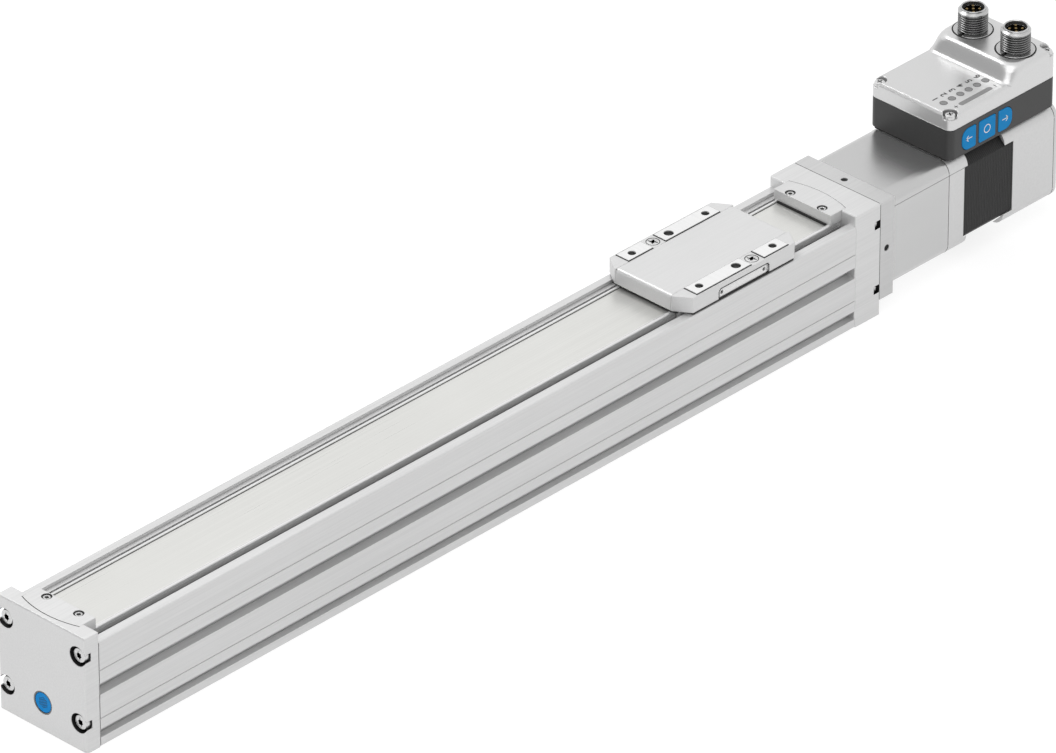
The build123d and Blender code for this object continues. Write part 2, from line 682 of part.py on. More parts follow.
# Rubber buffers: the travel ends just short of them
x_front_buffer = x_cap_back + FRONT_BUFFER_LENGTH
x_drive_buffer = x_profile_back - DRIVE_BUFFER_LENGTH
front_buffer = ring(x_cap_back, x_front_buffer, BUFFER_RADIUS, BUFFER_BORE_RADIUS)
drive_buffer = ring(x_drive_buffer, x_profile_back, BUFFER_RADIUS, BUFFER_BORE_RADIUS)
with BuildPart() as end_buffers:
    add(front_buffer)
    add(drive_buffer)
save(end_buffers.part, "end_buffers")

# Ball screw and what turns with it
x_screw_start = x_profile_front + SCREW_SHOULDER_INSET
x_screw_end = x_profile_back - SCREW_SHOULDER_INSET
x_locknut_end = x_drive_cap_back + LOCKNUT_WIDTH
x_hub_start = x_adapter_back + HUB_GAP
x_hub_end = x_hub_start + HUB_LENGTH
x_spider_end = x_hub_end + SPIDER_LENGTH
x_motor_hub_end = x_spider_end + HUB_LENGTH
with BuildPart() as ball_screw:
    with BuildSketch(Plane.XZ) as screw_section:
        with BuildLine():
            Polyline(
                (x_front_bearing, axis_height),
                (x_front_bearing, axis_height + FRONT_JOURNAL_RADIUS),
                (x_screw_start, axis_height + FRONT_JOURNAL_RADIUS),
                (x_screw_start, axis_height + SCREW_RADIUS),
                (x_screw_end, axis_height + SCREW_RADIUS),
                (x_screw_end, axis_height + DRIVE_JOURNAL_RADIUS),
                (x_locknut_end, axis_height + DRIVE_JOURNAL_RADIUS),
                (x_locknut_end, axis_height + SHAFT_RADIUS),
                (x_hub_end, axis_height + SHAFT_RADIUS),
                (x_hub_end, axis_height),
                close=True,
            )
        make_face()
    revolve(axis=Axis((0, 0, axis_height), (1, 0, 0)))
save(ball_screw.part, "ball_screw")

with BuildPart() as fixed_bearing_inner_rings:
    for number in range(FIXED_BEARING_COUNT):
        x_ring = x_fixed_bearings + number * FIXED_BEARING_WIDTH
        add(
            ring(
                x_ring,
                x_ring + FIXED_BEARING_WIDTH,
                FIXED_BEARING_PITCH_RADIUS,
                DRIVE_JOURNAL_RADIUS,
            )
        )
save(fixed_bearing_inner_rings.part, "fixed_bearing_inner_rings")

bearing_locknut = ring(x_drive_cap_back, x_locknut_end, LOCKNUT_RADIUS, DRIVE_JOURNAL_RADIUS)
save(bearing_locknut, "bearing_locknut")

screw_coupling_hub = ring(x_hub_start, x_hub_end, HUB_RADIUS, SHAFT_RADIUS)
save(screw_coupling_hub, "screw_coupling_hub")

with BuildPart() as coupling_spider:
    with BuildSketch(Plane.YZ.offset(x_hub_end)):
        with Locations((0, axis_height)):
            Circle(SPIDER_CORE_RADIUS)
            with PolarLocations((HUB_RADIUS + SPIDER_CORE_RADIUS) / 2 - SPIDER_ROOT, SPIDER_ARMS):
                Rectangle(HUB_RADIUS - SPIDER_CORE_RADIUS, SPIDER_ARM_WIDTH)
    extrude(amount=SPIDER_LENGTH)
save(coupling_spider.part, "coupling_spider")

motor_coupling_hub = ring(x_spider_end, x_motor_hub_end, HUB_RADIUS, MOTOR_SHAFT_RADIUS)
save(motor_coupling_hub, "motor_coupling_hub")

x_front_motor_bearing = x_flange_back - MOTOR_BEARING_WIDTH
x_rear_motor_bearing = x_stator_back + ROTOR_END_GAP
with BuildPart() as rotor:
    add(ring(x_spider_end, x_rear_motor_bearing + MOTOR_BEARING_WIDTH, MOTOR_SHAFT_RADIUS))
    add(ring(x_flange_back + ROTOR_END_GAP, x_stator_back - ROTOR_END_GAP, ROTOR_RADIUS))
save(rotor.part, "rotor")

# Adapter flange and coupling housing
x_adapter_middle = (x_drive_cap_back + x_adapter_back) / 2
with BuildPart() as adapter_flange:
    with BuildSketch(Plane.YZ.offset(x_drive_cap_back)):
        with Locations((0, (ADAPTER_BOTTOM + cap_height) / 2)):
            Rectangle(PROFILE_WIDTH, cap_height - ADAPTER_BOTTOM)
        with Locations((0, axis_height)):
            Circle(ADAPTER_BORE_RADIUS, mode=Mode.SUBTRACT)
    extrude(amount=ADAPTER_THICKNESS)
    with BuildSketch(Plane.XY.offset(cap_height)):
        with Locations((x_adapter_middle, 0)):
            Circle(ADAPTER_HOLE_RADIUS)
    extrude(amount=-ADAPTER_SET_SCREW_LENGTH - ADAPTER_SET_SCREW_SINK, mode=Mode.SUBTRACT)
    with BuildSketch(Plane.XZ.offset(PROFILE_WIDTH / 2)):
        with Locations((x_adapter_middle, axis_height)):
            Circle(ADAPTER_HOLE_RADIUS)
    extrude(amount=-ADAPTER_SET_SCREW_LENGTH - ADAPTER_SET_SCREW_SINK, mode=Mode.SUBTRACT)
save(adapter_flange.part, "adapter_flange")

with BuildPart() as adapter_set_screws:
    with BuildSketch(Plane.XY.offset(cap_height - ADAPTER_SET_SCREW_SINK)):
        with Locations((x_adapter_middle, 0)):
            Circle(ADAPTER_HOLE_RADIUS)
    extrude(amount=-ADAPTER_SET_SCREW_LENGTH)
    with BuildSketch(Plane.XZ.offset(PROFILE_WIDTH / 2 - ADAPTER_SET_SCREW_SINK)):
        with Locations((x_adapter_middle, axis_height)):
            Circle(ADAPTER_HOLE_RADIUS)
    extrude(amount=-ADAPTER_SET_SCREW_LENGTH)
save(adapter_set_screws.part, "adapter_set_screws")

housing_body = motor_section(x_adapter_back, x_housing_back)
with BuildPart() as coupling_housing:
    add(housing_body)
    with BuildSketch(Plane.YZ.offset(x_adapter_back)):
        with Locations((0, axis_height)):
            Circle(HOUSING_BORE_RADIUS)
    extrude(amount=HOUSING_LENGTH, mode=Mode.SUBTRACT)
save(coupling_housing.part, "coupling_housing")

# Motor: front flange, laminated stator and rear housing, whose lugs hold the stator's corners
flange_body = motor_section(x_housing_back, x_flange_back + FLANGE_LUG)
flange_seat = stator_section(x_flange_back, x_flange_back + FLANGE_LUG, STATOR_FIT + STATOR_INSET)
with BuildPart() as motor_front_flange:
    add(flange_body)
    add(flange_seat, mode=Mode.SUBTRACT)
    with BuildSketch(Plane.YZ.offset(x_front_motor_bearing)):
        with Locations((0, axis_height)):
            Circle(MOTOR_BEARING_RADIUS)
    extrude(amount=MOTOR_BEARING_WIDTH, mode=Mode.SUBTRACT)
    with BuildSketch(Plane.YZ.offset(x_housing_back)):
        with Locations((0, axis_height)):
            Circle(MOTOR_SHAFT_RADIUS + MOTOR_SHAFT_CLEARANCE)
    extrude(amount=FLANGE_LENGTH, mode=Mode.SUBTRACT)
save(motor_front_flange.part, "motor_front_flange")

stator_body = stator_section(x_flange_back, x_stator_back, 0)
with BuildPart() as stator_stack:
    add(stator_body)
    with BuildSketch(Plane.YZ.offset(x_flange_back)):
        with Locations((0, axis_height)):
            Circle(ROTOR_RADIUS + ROTOR_GAP)
    extrude(amount=STATOR_LENGTH, mode=Mode.SUBTRACT)
save(stator_stack.part, "stator_stack")

rear_body = motor_section(x_stator_back - REAR_LUG, x_rear_back)
rear_seat = stator_section(x_stator_back - REAR_LUG, x_stator_back, STATOR_FIT + STATOR_INSET)
motor_screw_places = [
    (y * MOTOR_SCREW_OFFSET, axis_height + z * MOTOR_SCREW_OFFSET) for y in sides for z in sides
]
with BuildPart() as motor_rear_housing:
    add(rear_body)
    add(rear_seat, mode=Mode.SUBTRACT)
    with BuildSketch(Plane.YZ.offset(x_stator_back)):
        with Locations((0, axis_height)):
            Circle(MOTOR_BEARING_RADIUS)
    extrude(amount=ROTOR_END_GAP + MOTOR_BEARING_WIDTH, mode=Mode.SUBTRACT)
    with BuildSketch(Plane.YZ.offset(x_rear_back)):
        with Locations(*motor_screw_places):
            Circle(MOTOR_SCREW_RADIUS + SCREW_CLEARANCE)
    extrude(amount=-MOTOR_SCREW_LENGTH, mode=Mode.SUBTRACT)
save(motor_rear_housing.part, "motor_rear_housing")

end_plate_body = motor_section(x_rear_back, x_rear_back + END_PLATE_THICKNESS)
x_end_plate_back = x_rear_back + END_PLATE_THICKNESS
with BuildPart() as motor_end_plate:
    add(end_plate_body)
    with BuildSketch(Plane.YZ.offset(x_end_plate_back)):
        with Locations(*motor_screw_places):
            Circle(MOTOR_SCREW_HEAD_RADIUS + SCREW_CLEARANCE)
    extrude(amount=-MOTOR_SCREW_HEAD_HEIGHT, mode=Mode.SUBTRACT)
    with BuildSketch(Plane.YZ.offset(x_end_plate_back)):
        with Locations(*motor_screw_places):
            Circle(MOTOR_SCREW_RADIUS + SCREW_CLEARANCE)
    extrude(amount=-END_PLATE_THICKNESS, mode=Mode.SUBTRACT)
save(motor_end_plate.part, "motor_end_plate")

x_motor_head_seat = x_end_plate_back - MOTOR_SCREW_HEAD_HEIGHT
with BuildPart() as motor_screws:
    with BuildSketch(Plane.YZ.offset(x_motor_head_seat)):
        with Locations(*motor_screw_places):
            Circle(MOTOR_SCREW_HEAD_RADIUS)
    extrude(amount=MOTOR_SCREW_HEAD_HEIGHT)
    with BuildSketch(Plane.YZ.offset(x_motor_head_seat)):
        with Locations(*motor_screw_places):
            Circle(MOTOR_SCREW_RADIUS)
    extrude(amount=-MOTOR_SCREW_LENGTH + MOTOR_SCREW_HEAD_HEIGHT)
    with BuildSketch(Plane.YZ.offset(x_end_plate_back)):
        with Locations(*motor_screw_places):
            RegularPolygon(MOTOR_SCREW_RADIUS, 6)
    extrude(amount=-MOTOR_SCREW_HEAD_HEIGHT / 2, mode=Mode.SUBTRACT)
save(motor_screws.part, "motor_screws")

with BuildPart() as motor_bearings:
    for x_bearing in (x_front_motor_bearing, x_rear_motor_bearing):
        add(
            ring(
                x_bearing,
                x_bearing + MOTOR_BEARING_WIDTH,
                MOTOR_BEARING_RADIUS,
                MOTOR_SHAFT_RADIUS + RUNNING_CLEARANCE,
            )
        )
save(motor_bearings.part, "motor_bearings")

# Carriage table: four pads stand through the covers
table_body = carriage_block(COVER_WALL + COVER_JOINT, carriage_bottom, carriage_top - COVER_WALL)
table_pads = pads(0, carriage_top - COVER_WALL, pad_top)
table_hole_places = [
    (carriage_x + x * TABLE_HOLE_X, y * TABLE_HOLE_Y) for x in sides for y in sides
]
centring_places = [(carriage_x, y * TABLE_HOLE_Y) for y in sides]
cover_screw_places = [(carriage_x - side * COVER_SCREW_X, side * COVER_SCREW_Y) for side in sides]
insert_hole_height = carriage_bottom + INSERT_HOLE_HEIGHT
insert_screw_places = [(carriage_x + x * INSERT_HOLE_X, insert_hole_height) for x in sides]
insert_seat = CARRIAGE_HALF_WIDTH - COVER_WALL - COVER_JOINT
with BuildPart() as slide_table:
    add(table_body)
    add(table_pads)
    with BuildSketch(Plane.XY.offset(pad_top)):
        with Locations(*table_hole_places):
            Circle(TABLE_THREAD_RADIUS)
    extrude(amount=-TABLE_THREAD_DEPTH, mode=Mode.SUBTRACT)
    with BuildSketch(Plane.XY.offset(pad_top)):
        with Locations(*centring_places):
            Circle(CENTRING_RADIUS)
    extrude(amount=-CENTRING_DEPTH, mode=Mode.SUBTRACT)
    with BuildSketch(Plane.XY.offset(carriage_top - COVER_WALL)):
        with Locations(*cover_screw_places):
            Circle(COVER_SCREW_RADIUS + SCREW_CLEARANCE)
    extrude(amount=-COVER_SCREW_LENGTH + COVER_WALL, mode=Mode.SUBTRACT)
save(slide_table.part, "slide_table")

# Centre cover: a folded plate over the table with a skirt at each end
with BuildPart() as carriage_cover:
    with BuildSketch(Plane.XY.offset(carriage_bottom)):
        with Locations((carriage_x, 0)):
            Rectangle(2 * CARRIAGE_HALF_LENGTH, 2 * COVER_HALF_WIDTH)
    extrude(amount=carriage_top - carriage_bottom)
    fillet(carriage_cover.faces().sort_by(Axis.Z)[-1].edges().filter_by(Axis.Y), COVER_END_RADIUS)
    with BuildSketch(Plane.XY.offset(carriage_bottom)):
        with Locations((carriage_x, 0)):
            Rectangle(2 * (CARRIAGE_HALF_LENGTH - COVER_WALL), 2 * COVER_HALF_WIDTH)
    extrude(amount=carriage_top - COVER_WALL - carriage_bottom, mode=Mode.SUBTRACT)
save(carriage_cover.part, "carriage_cover")

# Side covers: their windows show the pads, a recess in each side holds the insert plate
side_shell = carriage_block(0, carriage_bottom, carriage_top)
side_hollow = carriage_block(COVER_WALL, carriage_bottom, carriage_top - COVER_WALL)
pad_windows = pads(COVER_JOINT, carriage_bottom, carriage_top)
with BuildPart() as side_covers:
    add(side_shell)
    add(side_hollow, mode=Mode.SUBTRACT)
    add(pad_windows, mode=Mode.SUBTRACT)
    with BuildSketch(Plane.XY.offset(carriage_bottom)):
        with Locations((carriage_x, 0)):
            Rectangle(2 * CARRIAGE_HALF_LENGTH, 2 * (COVER_HALF_WIDTH + COVER_JOINT))
    extrude(amount=carriage_top - carriage_bottom, mode=Mode.SUBTRACT)
    with BuildSketch(Plane.XZ.offset(CARRIAGE_HALF_WIDTH)):
        with Locations((carriage_x, carriage_bottom + INSERT_HEIGHT / 2)):
            Rectangle(2 * (INSERT_HALF_LENGTH + COVER_JOINT), INSERT_HEIGHT + 2 * COVER_JOINT)
    extrude(amount=-2 * CARRIAGE_HALF_WIDTH, mode=Mode.SUBTRACT)
    with BuildSketch(Plane.XY.offset(carriage_top)):
        with Locations(*cover_screw_places):
            Circle(COVER_SCREW_HEAD_RADIUS + SCREW_CLEARANCE)
    extrude(amount=-COVER_WALL, mode=Mode.SUBTRACT)
save(side_covers.part, "side_covers")

with BuildPart() as cover_screws:
    with BuildSketch(Plane.XY.offset(carriage_top - COVER_WALL)):
        with Locations(*cover_screw_places):
            Circle(COVER_SCREW_HEAD_RADIUS)
    extrude(amount=COVER_WALL)
    with BuildSketch(Plane.XY.offset(carriage_top - COVER_WALL)):
        with Locations(*cover_screw_places):
            Circle(COVER_SCREW_RADIUS)
    extrude(amount=-COVER_SCREW_LENGTH + COVER_WALL)
save(cover_screws.part, "cover_screws")

with BuildPart() as insert_plates:
    for side in sides:
        face = Plane.XZ.offset(-side * insert_seat)
        with BuildSketch(face) as plate_face:
            with Locations((carriage_x, carriage_bottom + INSERT_HEIGHT / 2)):
                Rectangle(2 * INSERT_HALF_LENGTH, INSERT_HEIGHT)
            fillet(plate_face.vertices().group_by(Axis.Z)[-1], INSERT_HEIGHT / 4)
            with Locations(*insert_screw_places):
                Circle(INSERT_SCREW_RADIUS, mode=Mode.SUBTRACT)
        extrude(amount=-side * INSERT_THICKNESS)
save(insert_plates.part, "insert_plates")

with BuildPart() as insert_screws:
    for side in sides:
        with BuildSketch(Plane.XZ.offset(-side * insert_seat)):
            with Locations(*insert_screw_places):
                Circle(INSERT_SCREW_RADIUS)
        extrude(amount=-side * INSERT_THICKNESS / 2)
save(insert_screws.part, "insert_screws")

wiper_bottom = PROFILE_HEIGHT + WIPER_GAP
wiper_half_width = CARRIAGE_HALF_WIDTH - CARRIAGE_CUT_WIDTH + COVER_WALL
with BuildPart() as wipers:
    for side in sides:
        x_wiper = carriage_x + side * (CARRIAGE_HALF_LENGTH - WIPER_THICKNESS / 2 - CAP_EDGE)
        with BuildSketch(Plane.XY.offset(wiper_bottom)):
            with Locations((x_wiper, 0)):
                Rectangle(WIPER_THICKNESS, 2 * wiper_half_width)
        extrude(amount=carriage_bottom - wiper_bottom)
save(wipers.part, "wipers")

# Runner frame: carries the nut, its webs pass beside the strip up to the table
with BuildPart() as runner_frame:
    with BuildSketch(Plane.YZ.offset(carriage_x - RUNNER_HALF_LENGTH)):
        with Locations((0, (block_top + runner_top) / 2)):
            Rectangle(2 * web_outer, runner_top - block_top)
        for side in sides:
            y_web = side * (web_inner + web_outer) / 2
            with Locations((y_web, (runner_top + carriage_bottom) / 2)):
                Rectangle(WEB_THICKNESS, carriage_bottom - runner_top)
        with Locations((0, axis_height)):
            Circle(NUT_RADIUS, mode=Mode.SUBTRACT)
    extrude(amount=2 * RUNNER_HALF_LENGTH)
save(runner_frame.part, "runner_frame")

block_seat_height = GUIDE_HEIGHT - (block_bottom - CHANNEL_FLOOR) + BLOCK_FIT
with BuildPart() as runner_blocks:
    for side in sides:
        x_block = carriage_x + side * (RUNNER_HALF_LENGTH - BLOCK_LENGTH / 2) - BLOCK_LENGTH / 2
        with BuildSketch(Plane.YZ.offset(x_block)):
            with Locations((0, (block_bottom + block_top) / 2)):
                Rectangle(2 * BLOCK_HALF_WIDTH, block_top - block_bottom)
            with Locations((0, block_bottom + block_seat_height / 2)):
                Rectangle(GUIDE_WIDTH + 2 * BLOCK_FIT, block_seat_height, mode=Mode.SUBTRACT)
        extrude(amount=BLOCK_LENGTH)
save(runner_blocks.part, "runner_blocks")

ball_nut = ring(
    carriage_x - NUT_LENGTH / 2,
    carriage_x + NUT_LENGTH / 2,
    NUT_RADIUS,
    SCREW_RADIUS + RUNNING_CLEARANCE,
)
save(ball_nut, "ball_nut")

# Controller base: an open tray on the motor, with windows for the three keys
key_middle = (motor_top + base_top) / 2
key_widths = (KEY_END_WIDTH, KEY_MIDDLE_WIDTH, KEY_END_WIDTH)
key_names = ("left_key", "middle_key", "right_key")
key_starts = [
    x_controller + KEY_FIRST + sum(key_widths[:number]) + number * KEY_GAP for number in range(3)
]


def key_block(number, grow, y_front, y_back):
    """A key's outline, round at the outer end of an end key, between two places on Y."""
    width = key_widths[number]
    x_middle = key_starts[number] + width / 2
    with BuildPart() as block:
        with BuildSketch(Plane.XZ.offset(-y_front)) as outline:
            with Locations((x_middle, key_middle)):
                Rectangle(width + 2 * grow, KEY_HEIGHT + 2 * grow)
            columns = outline.vertices().group_by(Axis.X)
            left_radius = KEY_END_RADIUS if number == 0 else KEY_CORNER_RADIUS
            right_radius = KEY_END_RADIUS if number == 2 else KEY_CORNER_RADIUS
            fillet(columns[0], left_radius)
            fillet(outline.vertices().group_by(Axis.X)[-1], right_radius)
        extrude(amount=y_front - y_back)
    return block.part


y_near_face = -CONTROLLER_WIDTH / 2
y_near_inner = y_near_face + BASE_WALL
screw_corner_places = [
    (x, side * (CONTROLLER_WIDTH / 2 - COVER_SCREW_INSET))
    for x in (x_controller + COVER_SCREW_INSET, x_controller_back - COVER_SCREW_INSET)
    for side in sides
]
post_places = [
    (x, side * (CONTROLLER_WIDTH / 2 - BOARD_INSET_Y - POST_SETBACK))
    for x in (
        x_controller + BOARD_INSET_X + POST_SETBACK,
        x_controller_back - BOARD_INSET_X - POST_SETBACK,
    )
    for side in sides
]
base_body = controller_outline_block(0, motor_top, base_top)
base_hollow = controller_outline_block(BASE_WALL, motor_top + BASE_FLOOR, base_top)
board_bottom = motor_top + BASE_FLOOR + POST_HEIGHT
key_windows = [
    key_block(number, KEY_CLEARANCE, y_near_face, y_near_inner) for number in range(3)
]
with BuildPart() as controller_base:
    add(base_body)
    chamfer(controller_base.faces().sort_by(Axis.Z)[0].edges(), BASE_FOOT)
    add(base_hollow, mode=Mode.SUBTRACT)
    with BuildSketch(Plane.XY.offset(motor_top + BASE_FLOOR)):
        with Locations(*screw_corner_places):
            Circle(BOSS_RADIUS)
    extrude(amount=BASE_HEIGHT - BASE_FLOOR)
    with BuildSketch(Plane.XY.offset(motor_top + BASE_FLOOR)):
        with Locations(*post_places):
            Circle(POST_RADIUS)
    extrude(amount=POST_HEIGHT)
    with BuildSketch(Plane.XY.offset(base_top)):
        with Locations(*screw_corner_places):
            Circle(SMALL_SCREW_RADIUS + SCREW_CLEARANCE)
    extrude(amount=-SMALL_SCREW_LENGTH, mode=Mode.SUBTRACT)
    for key_window in key_windows:
        add(key_window, mode=Mode.SUBTRACT)
save(controller_base.part, "controller_base")

with BuildPart() as circuit_board:
    with BuildSketch(Plane.XY.offset(board_bottom)):
        with Locations((x_controller + CONTROLLER_LENGTH / 2, 0)):
            Rectangle(CONTROLLER_LENGTH - 2 * BOARD_INSET_X, CONTROLLER_WIDTH - 2 * BOARD_INSET_Y)
    extrude(amount=BOARD_THICKNESS)
save(circuit_board.part, "circuit_board")

# Keys: each slides inwards, an inner flange keeps it from falling out
for number, name in enumerate(key_names):
    y_flange = y_near_inner + KEY_CLEARANCE
    cap_block = key_block(number, 0, y_near_face - KEY_PROUD, y_flange)
    flange_block = key_block(number, KEY_FLANGE, y_flange, y_flange + KEY_FLANGE_THICKNESS)
    with BuildPart() as key:
        add(cap_block)
        add(flange_block)
    save(key.part, name)

# Controller cover: a low deck that ramps up to the raised connector deck
cover_slab = controller_outline_block(0, cover_bottom, deck_top)
cover_hollow = controller_outline_block(COVER_SHELL, cover_bottom, deck_top - COVER_SHELL)
raised_hollow_start = x_controller + RAMP_END + COVER_SHELL
connector_x = x_controller_back - CONNECTOR_OFFSET
connector_places = [(connector_x, side * CONNECTOR_Y) for side in sides]
x_first_window = x_controller + WINDOW_FIRST
window_places = [
    (x_first_window + number * WINDOW_PITCH, WINDOW_Y) for number in range(WINDOW_COUNT)
]
level_place = (x_controller + LEVEL_FIRST + LEVEL_LENGTH / 2, LEVEL_Y)
front_screw_places = screw_corner_places[:2]
rear_screw_places = screw_corner_places[2:]
front_pocket_floor = deck_top - COVER_POCKET_DEPTH
rear_pocket_floor = raised_top - REAR_POCKET_DEPTH
flange_floor = raised_top - CONNECTOR_FLANGE_SINK
seal_radius = CONNECTOR_FLANGE_RADIUS + CONNECTOR_SEAL_WIDTH
with BuildPart() as raised_block:
    for number in range(RAMP_SLICES + 1):
        turn = number / RAMP_SLICES
        climb = (1 - cos(pi * turn)) / 2
        height = deck_top + climb * (raised_top - deck_top)
        over = max(0, height - raised_top + RAISED_EDGE_RADIUS)
        inset = RAISED_EDGE_RADIUS - sqrt(RAISED_EDGE_RADIUS**2 - over**2)
        slice_front = x_controller + RAMP_START + turn * (RAMP_END - RAMP_START)
        slice_back = x_controller_back - inset
        with BuildSketch(Plane.XY.offset(height)) as ramp_slice:
            with Locations(((slice_front + slice_back) / 2, 0)):
                Rectangle(slice_back - slice_front, CONTROLLER_WIDTH - 2 * inset)
            corner = RAMP_CORNER_START + climb * (RAMP_CORNER_END - RAMP_CORNER_START)
            fillet(ramp_slice.vertices().group_by(Axis.X)[0], corner)
            fillet(ramp_slice.vertices().group_by(Axis.X)[-1], CONTROLLER_CORNER)
    loft(ruled=True)
    extrude(raised_block.faces().sort_by(Axis.Z)[0], amount=COVER_EDGE_RADIUS)

with BuildPart() as controller_cover:
    add(cover_slab)
    chamfer(controller_cover.faces().sort_by(Axis.Z)[-1].edges(), COVER_EDGE_RADIUS)
    add(raised_block.part)
    add(cover_hollow, mode=Mode.SUBTRACT)
    with BuildSketch(Plane.XY.offset(cover_bottom)):
        with Locations(((raised_hollow_start + x_controller_back - COVER_SHELL) / 2, 0)):
            Rectangle(
                x_controller_back - COVER_SHELL - raised_hollow_start,
                2 * (CONTROLLER_WIDTH / 2 - 2 * COVER_SCREW_INSET - COVER_SHELL),
            )
    extrude(amount=flange_floor - COVER_SHELL - cover_bottom, mode=Mode.SUBTRACT)
    with BuildSketch(Plane.XY.offset(cover_bottom)):
        with Locations(*screw_corner_places):
            Circle(BOSS_RADIUS)
    extrude(amount=front_pocket_floor - cover_bottom)
    with BuildSketch(Plane.XY.offset(front_pocket_floor)):
        with Locations(*front_screw_places):
            Circle(COVER_POCKET_RADIUS)
    extrude(amount=COVER_POCKET_DEPTH, mode=Mode.SUBTRACT)
    with BuildSketch(Plane.XY.offset(rear_pocket_floor)):
        with Locations(*rear_screw_places):
            Circle(COVER_POCKET_RADIUS)
    extrude(amount=REAR_POCKET_DEPTH, mode=Mode.SUBTRACT)
    with BuildSketch(Plane.XY.offset(cover_bottom)):
        with Locations(*screw_corner_places):
            Circle(SMALL_SCREW_RADIUS + SCREW_CLEARANCE)
    extrude(amount=rear_pocket_floor - cover_bottom, mode=Mode.SUBTRACT)
    with BuildSketch(Plane.XY.offset(flange_floor)):
        with Locations(*connector_places):
            Circle(seal_radius)
    extrude(amount=CONNECTOR_FLANGE_SINK, mode=Mode.SUBTRACT)
    with BuildSketch(Plane.XY.offset(deck_top)):
        with Locations(*window_places):
            Circle(WINDOW_RADIUS)
        with Locations(level_place):
            SlotOverall(LEVEL_LENGTH, LEVEL_WIDTH)
    extrude(amount=-WINDOW_DEPTH, mode=Mode.SUBTRACT)
save(controller_cover.part, "controller_cover")

with BuildPart() as controller_gasket:
    with BuildSketch(Plane.XY.offset(base_top)):
        with Locations((x_controller + CONTROLLER_LENGTH / 2, 0)):
            RectangleRounded(
                CONTROLLER_LENGTH - 2 * GASKET_INSET,
                CONTROLLER_WIDTH - 2 * GASKET_INSET,
                CONTROLLER_CORNER - GASKET_INSET,
            )
            RectangleRounded(
                CONTROLLER_LENGTH - 2 * BASE_WALL,
                CONTROLLER_WIDTH - 2 * BASE_WALL,
                CONTROLLER_CORNER / 2,
                mode=Mode.SUBTRACT,
            )
        with Locations(*screw_corner_places):
            Circle(SMALL_SCREW_RADIUS + SCREW_CLEARANCE, mode=Mode.SUBTRACT)
    extrude(amount=COVER_SEAL_THICKNESS)
save(controller_gasket.part, "controller_gasket")

controller_screw_seats = (
    (front_screw_places, front_pocket_floor),
    (rear_screw_places, rear_pocket_floor),
)
with BuildPart() as controller_screws:
    for places, floor in controller_screw_seats:
        with BuildSketch(Plane.XY.offset(floor)):
            with Locations(*places):
                Circle(SMALL_HEAD_RADIUS)
        extrude(amount=SMALL_HEAD_HEIGHT)
        with BuildSketch(Plane.XY.offset(floor)):
            with Locations(*places):
                Circle(SMALL_SCREW_RADIUS)
        extrude(amount=-(floor - base_top) - SMALL_SCREW_LENGTH + SCREW_CLEARANCE)
save(controller_screws.part, "controller_screws")

# Connectors: threaded shells with their inserts, pins and sealing rings
shell_top = raised_top + CONNECTOR_HEIGHT
insert_top = shell_top - INSERT_PLUG_DEPTH
with BuildPart() as connector_shells:
    for place in connector_places:
        with BuildSketch(Plane.XY.offset(flange_floor)):
            with Locations(place):
                Circle(CONNECTOR_FLANGE_RADIUS)
                Circle(CONNECTOR_BORE_RADIUS, mode=Mode.SUBTRACT)
        extrude(amount=CONNECTOR_FLANGE_SINK + CONNECTOR_FLANGE_RISE)
        with BuildSketch(Plane.XY.offset(flange_floor)):
            with Locations(place):
                Circle(CONNECTOR_RADIUS)
                Circle(CONNECTOR_BORE_RADIUS, mode=Mode.SUBTRACT)
        extrude(amount=shell_top - CONNECTOR_COLLAR_HEIGHT - flange_floor)
        with BuildSketch(Plane.XY.offset(shell_top - CONNECTOR_COLLAR_HEIGHT)):
            with Locations(place):
                Circle(CONNECTOR_COLLAR_RADIUS)
                Circle(CONNECTOR_BORE_RADIUS, mode=Mode.SUBTRACT)
        extrude(amount=CONNECTOR_COLLAR_HEIGHT)
save(connector_shells.part, "connector_shells")

with BuildPart() as connector_inserts:
    with BuildSketch(Plane.XY.offset(flange_floor)):
        with Locations(*connector_places):
            Circle(CONNECTOR_BORE_RADIUS)
    extrude(amount=insert_top - flange_floor)
save(connector_inserts.part, "connector_inserts")

with BuildPart() as connector_pins:
    with BuildSketch(Plane.XY.offset(insert_top)):
        for place in connector_places:
            with Locations(place):
                Circle(PIN_RADIUS)
                with PolarLocations(PIN_CIRCLE_RADIUS, PIN_COUNT, start_angle=45):
                    Circle(PIN_RADIUS)
    extrude(amount=PIN_HEIGHT)
save(connector_pins.part, "connector_pins")

with BuildPart() as connector_seals:
    with BuildSketch(Plane.XY.offset(flange_floor)):
        for place in connector_places:
            with Locations(place):
                Circle(seal_radius)
                Circle(CONNECTOR_FLANGE_RADIUS, mode=Mode.SUBTRACT)
    extrude(amount=CONNECTOR_FLANGE_SINK - CONNECTOR_FLANGE_RISE)
save(connector_seals.part, "connector_seals")

with BuildPart() as indicator_windows:
    with BuildSketch(Plane.XY.offset(deck_top)):
        with Locations(*window_places):
            Circle(WINDOW_RADIUS)
    extrude(amount=-WINDOW_DEPTH)
save(indicator_windows.part, "indicator_windows")

with BuildPart() as level_window:
    with BuildSketch(Plane.XY.offset(deck_top)):
        with Locations(level_place):
            SlotOverall(LEVEL_LENGTH, LEVEL_WIDTH)
    extrude(amount=-WINDOW_DEPTH)
save(level_window.part, "level_window")
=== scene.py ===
"""Ball screw linear axis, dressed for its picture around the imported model.

Metres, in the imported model's frame: X runs towards the motor, the near side faces -Y and
Z is up. The shapes below are drawn in millimetres and scaled once, when a piece is made.
"""
import json
import math

import bmesh
import bpy
from mathutils import Matrix, Vector


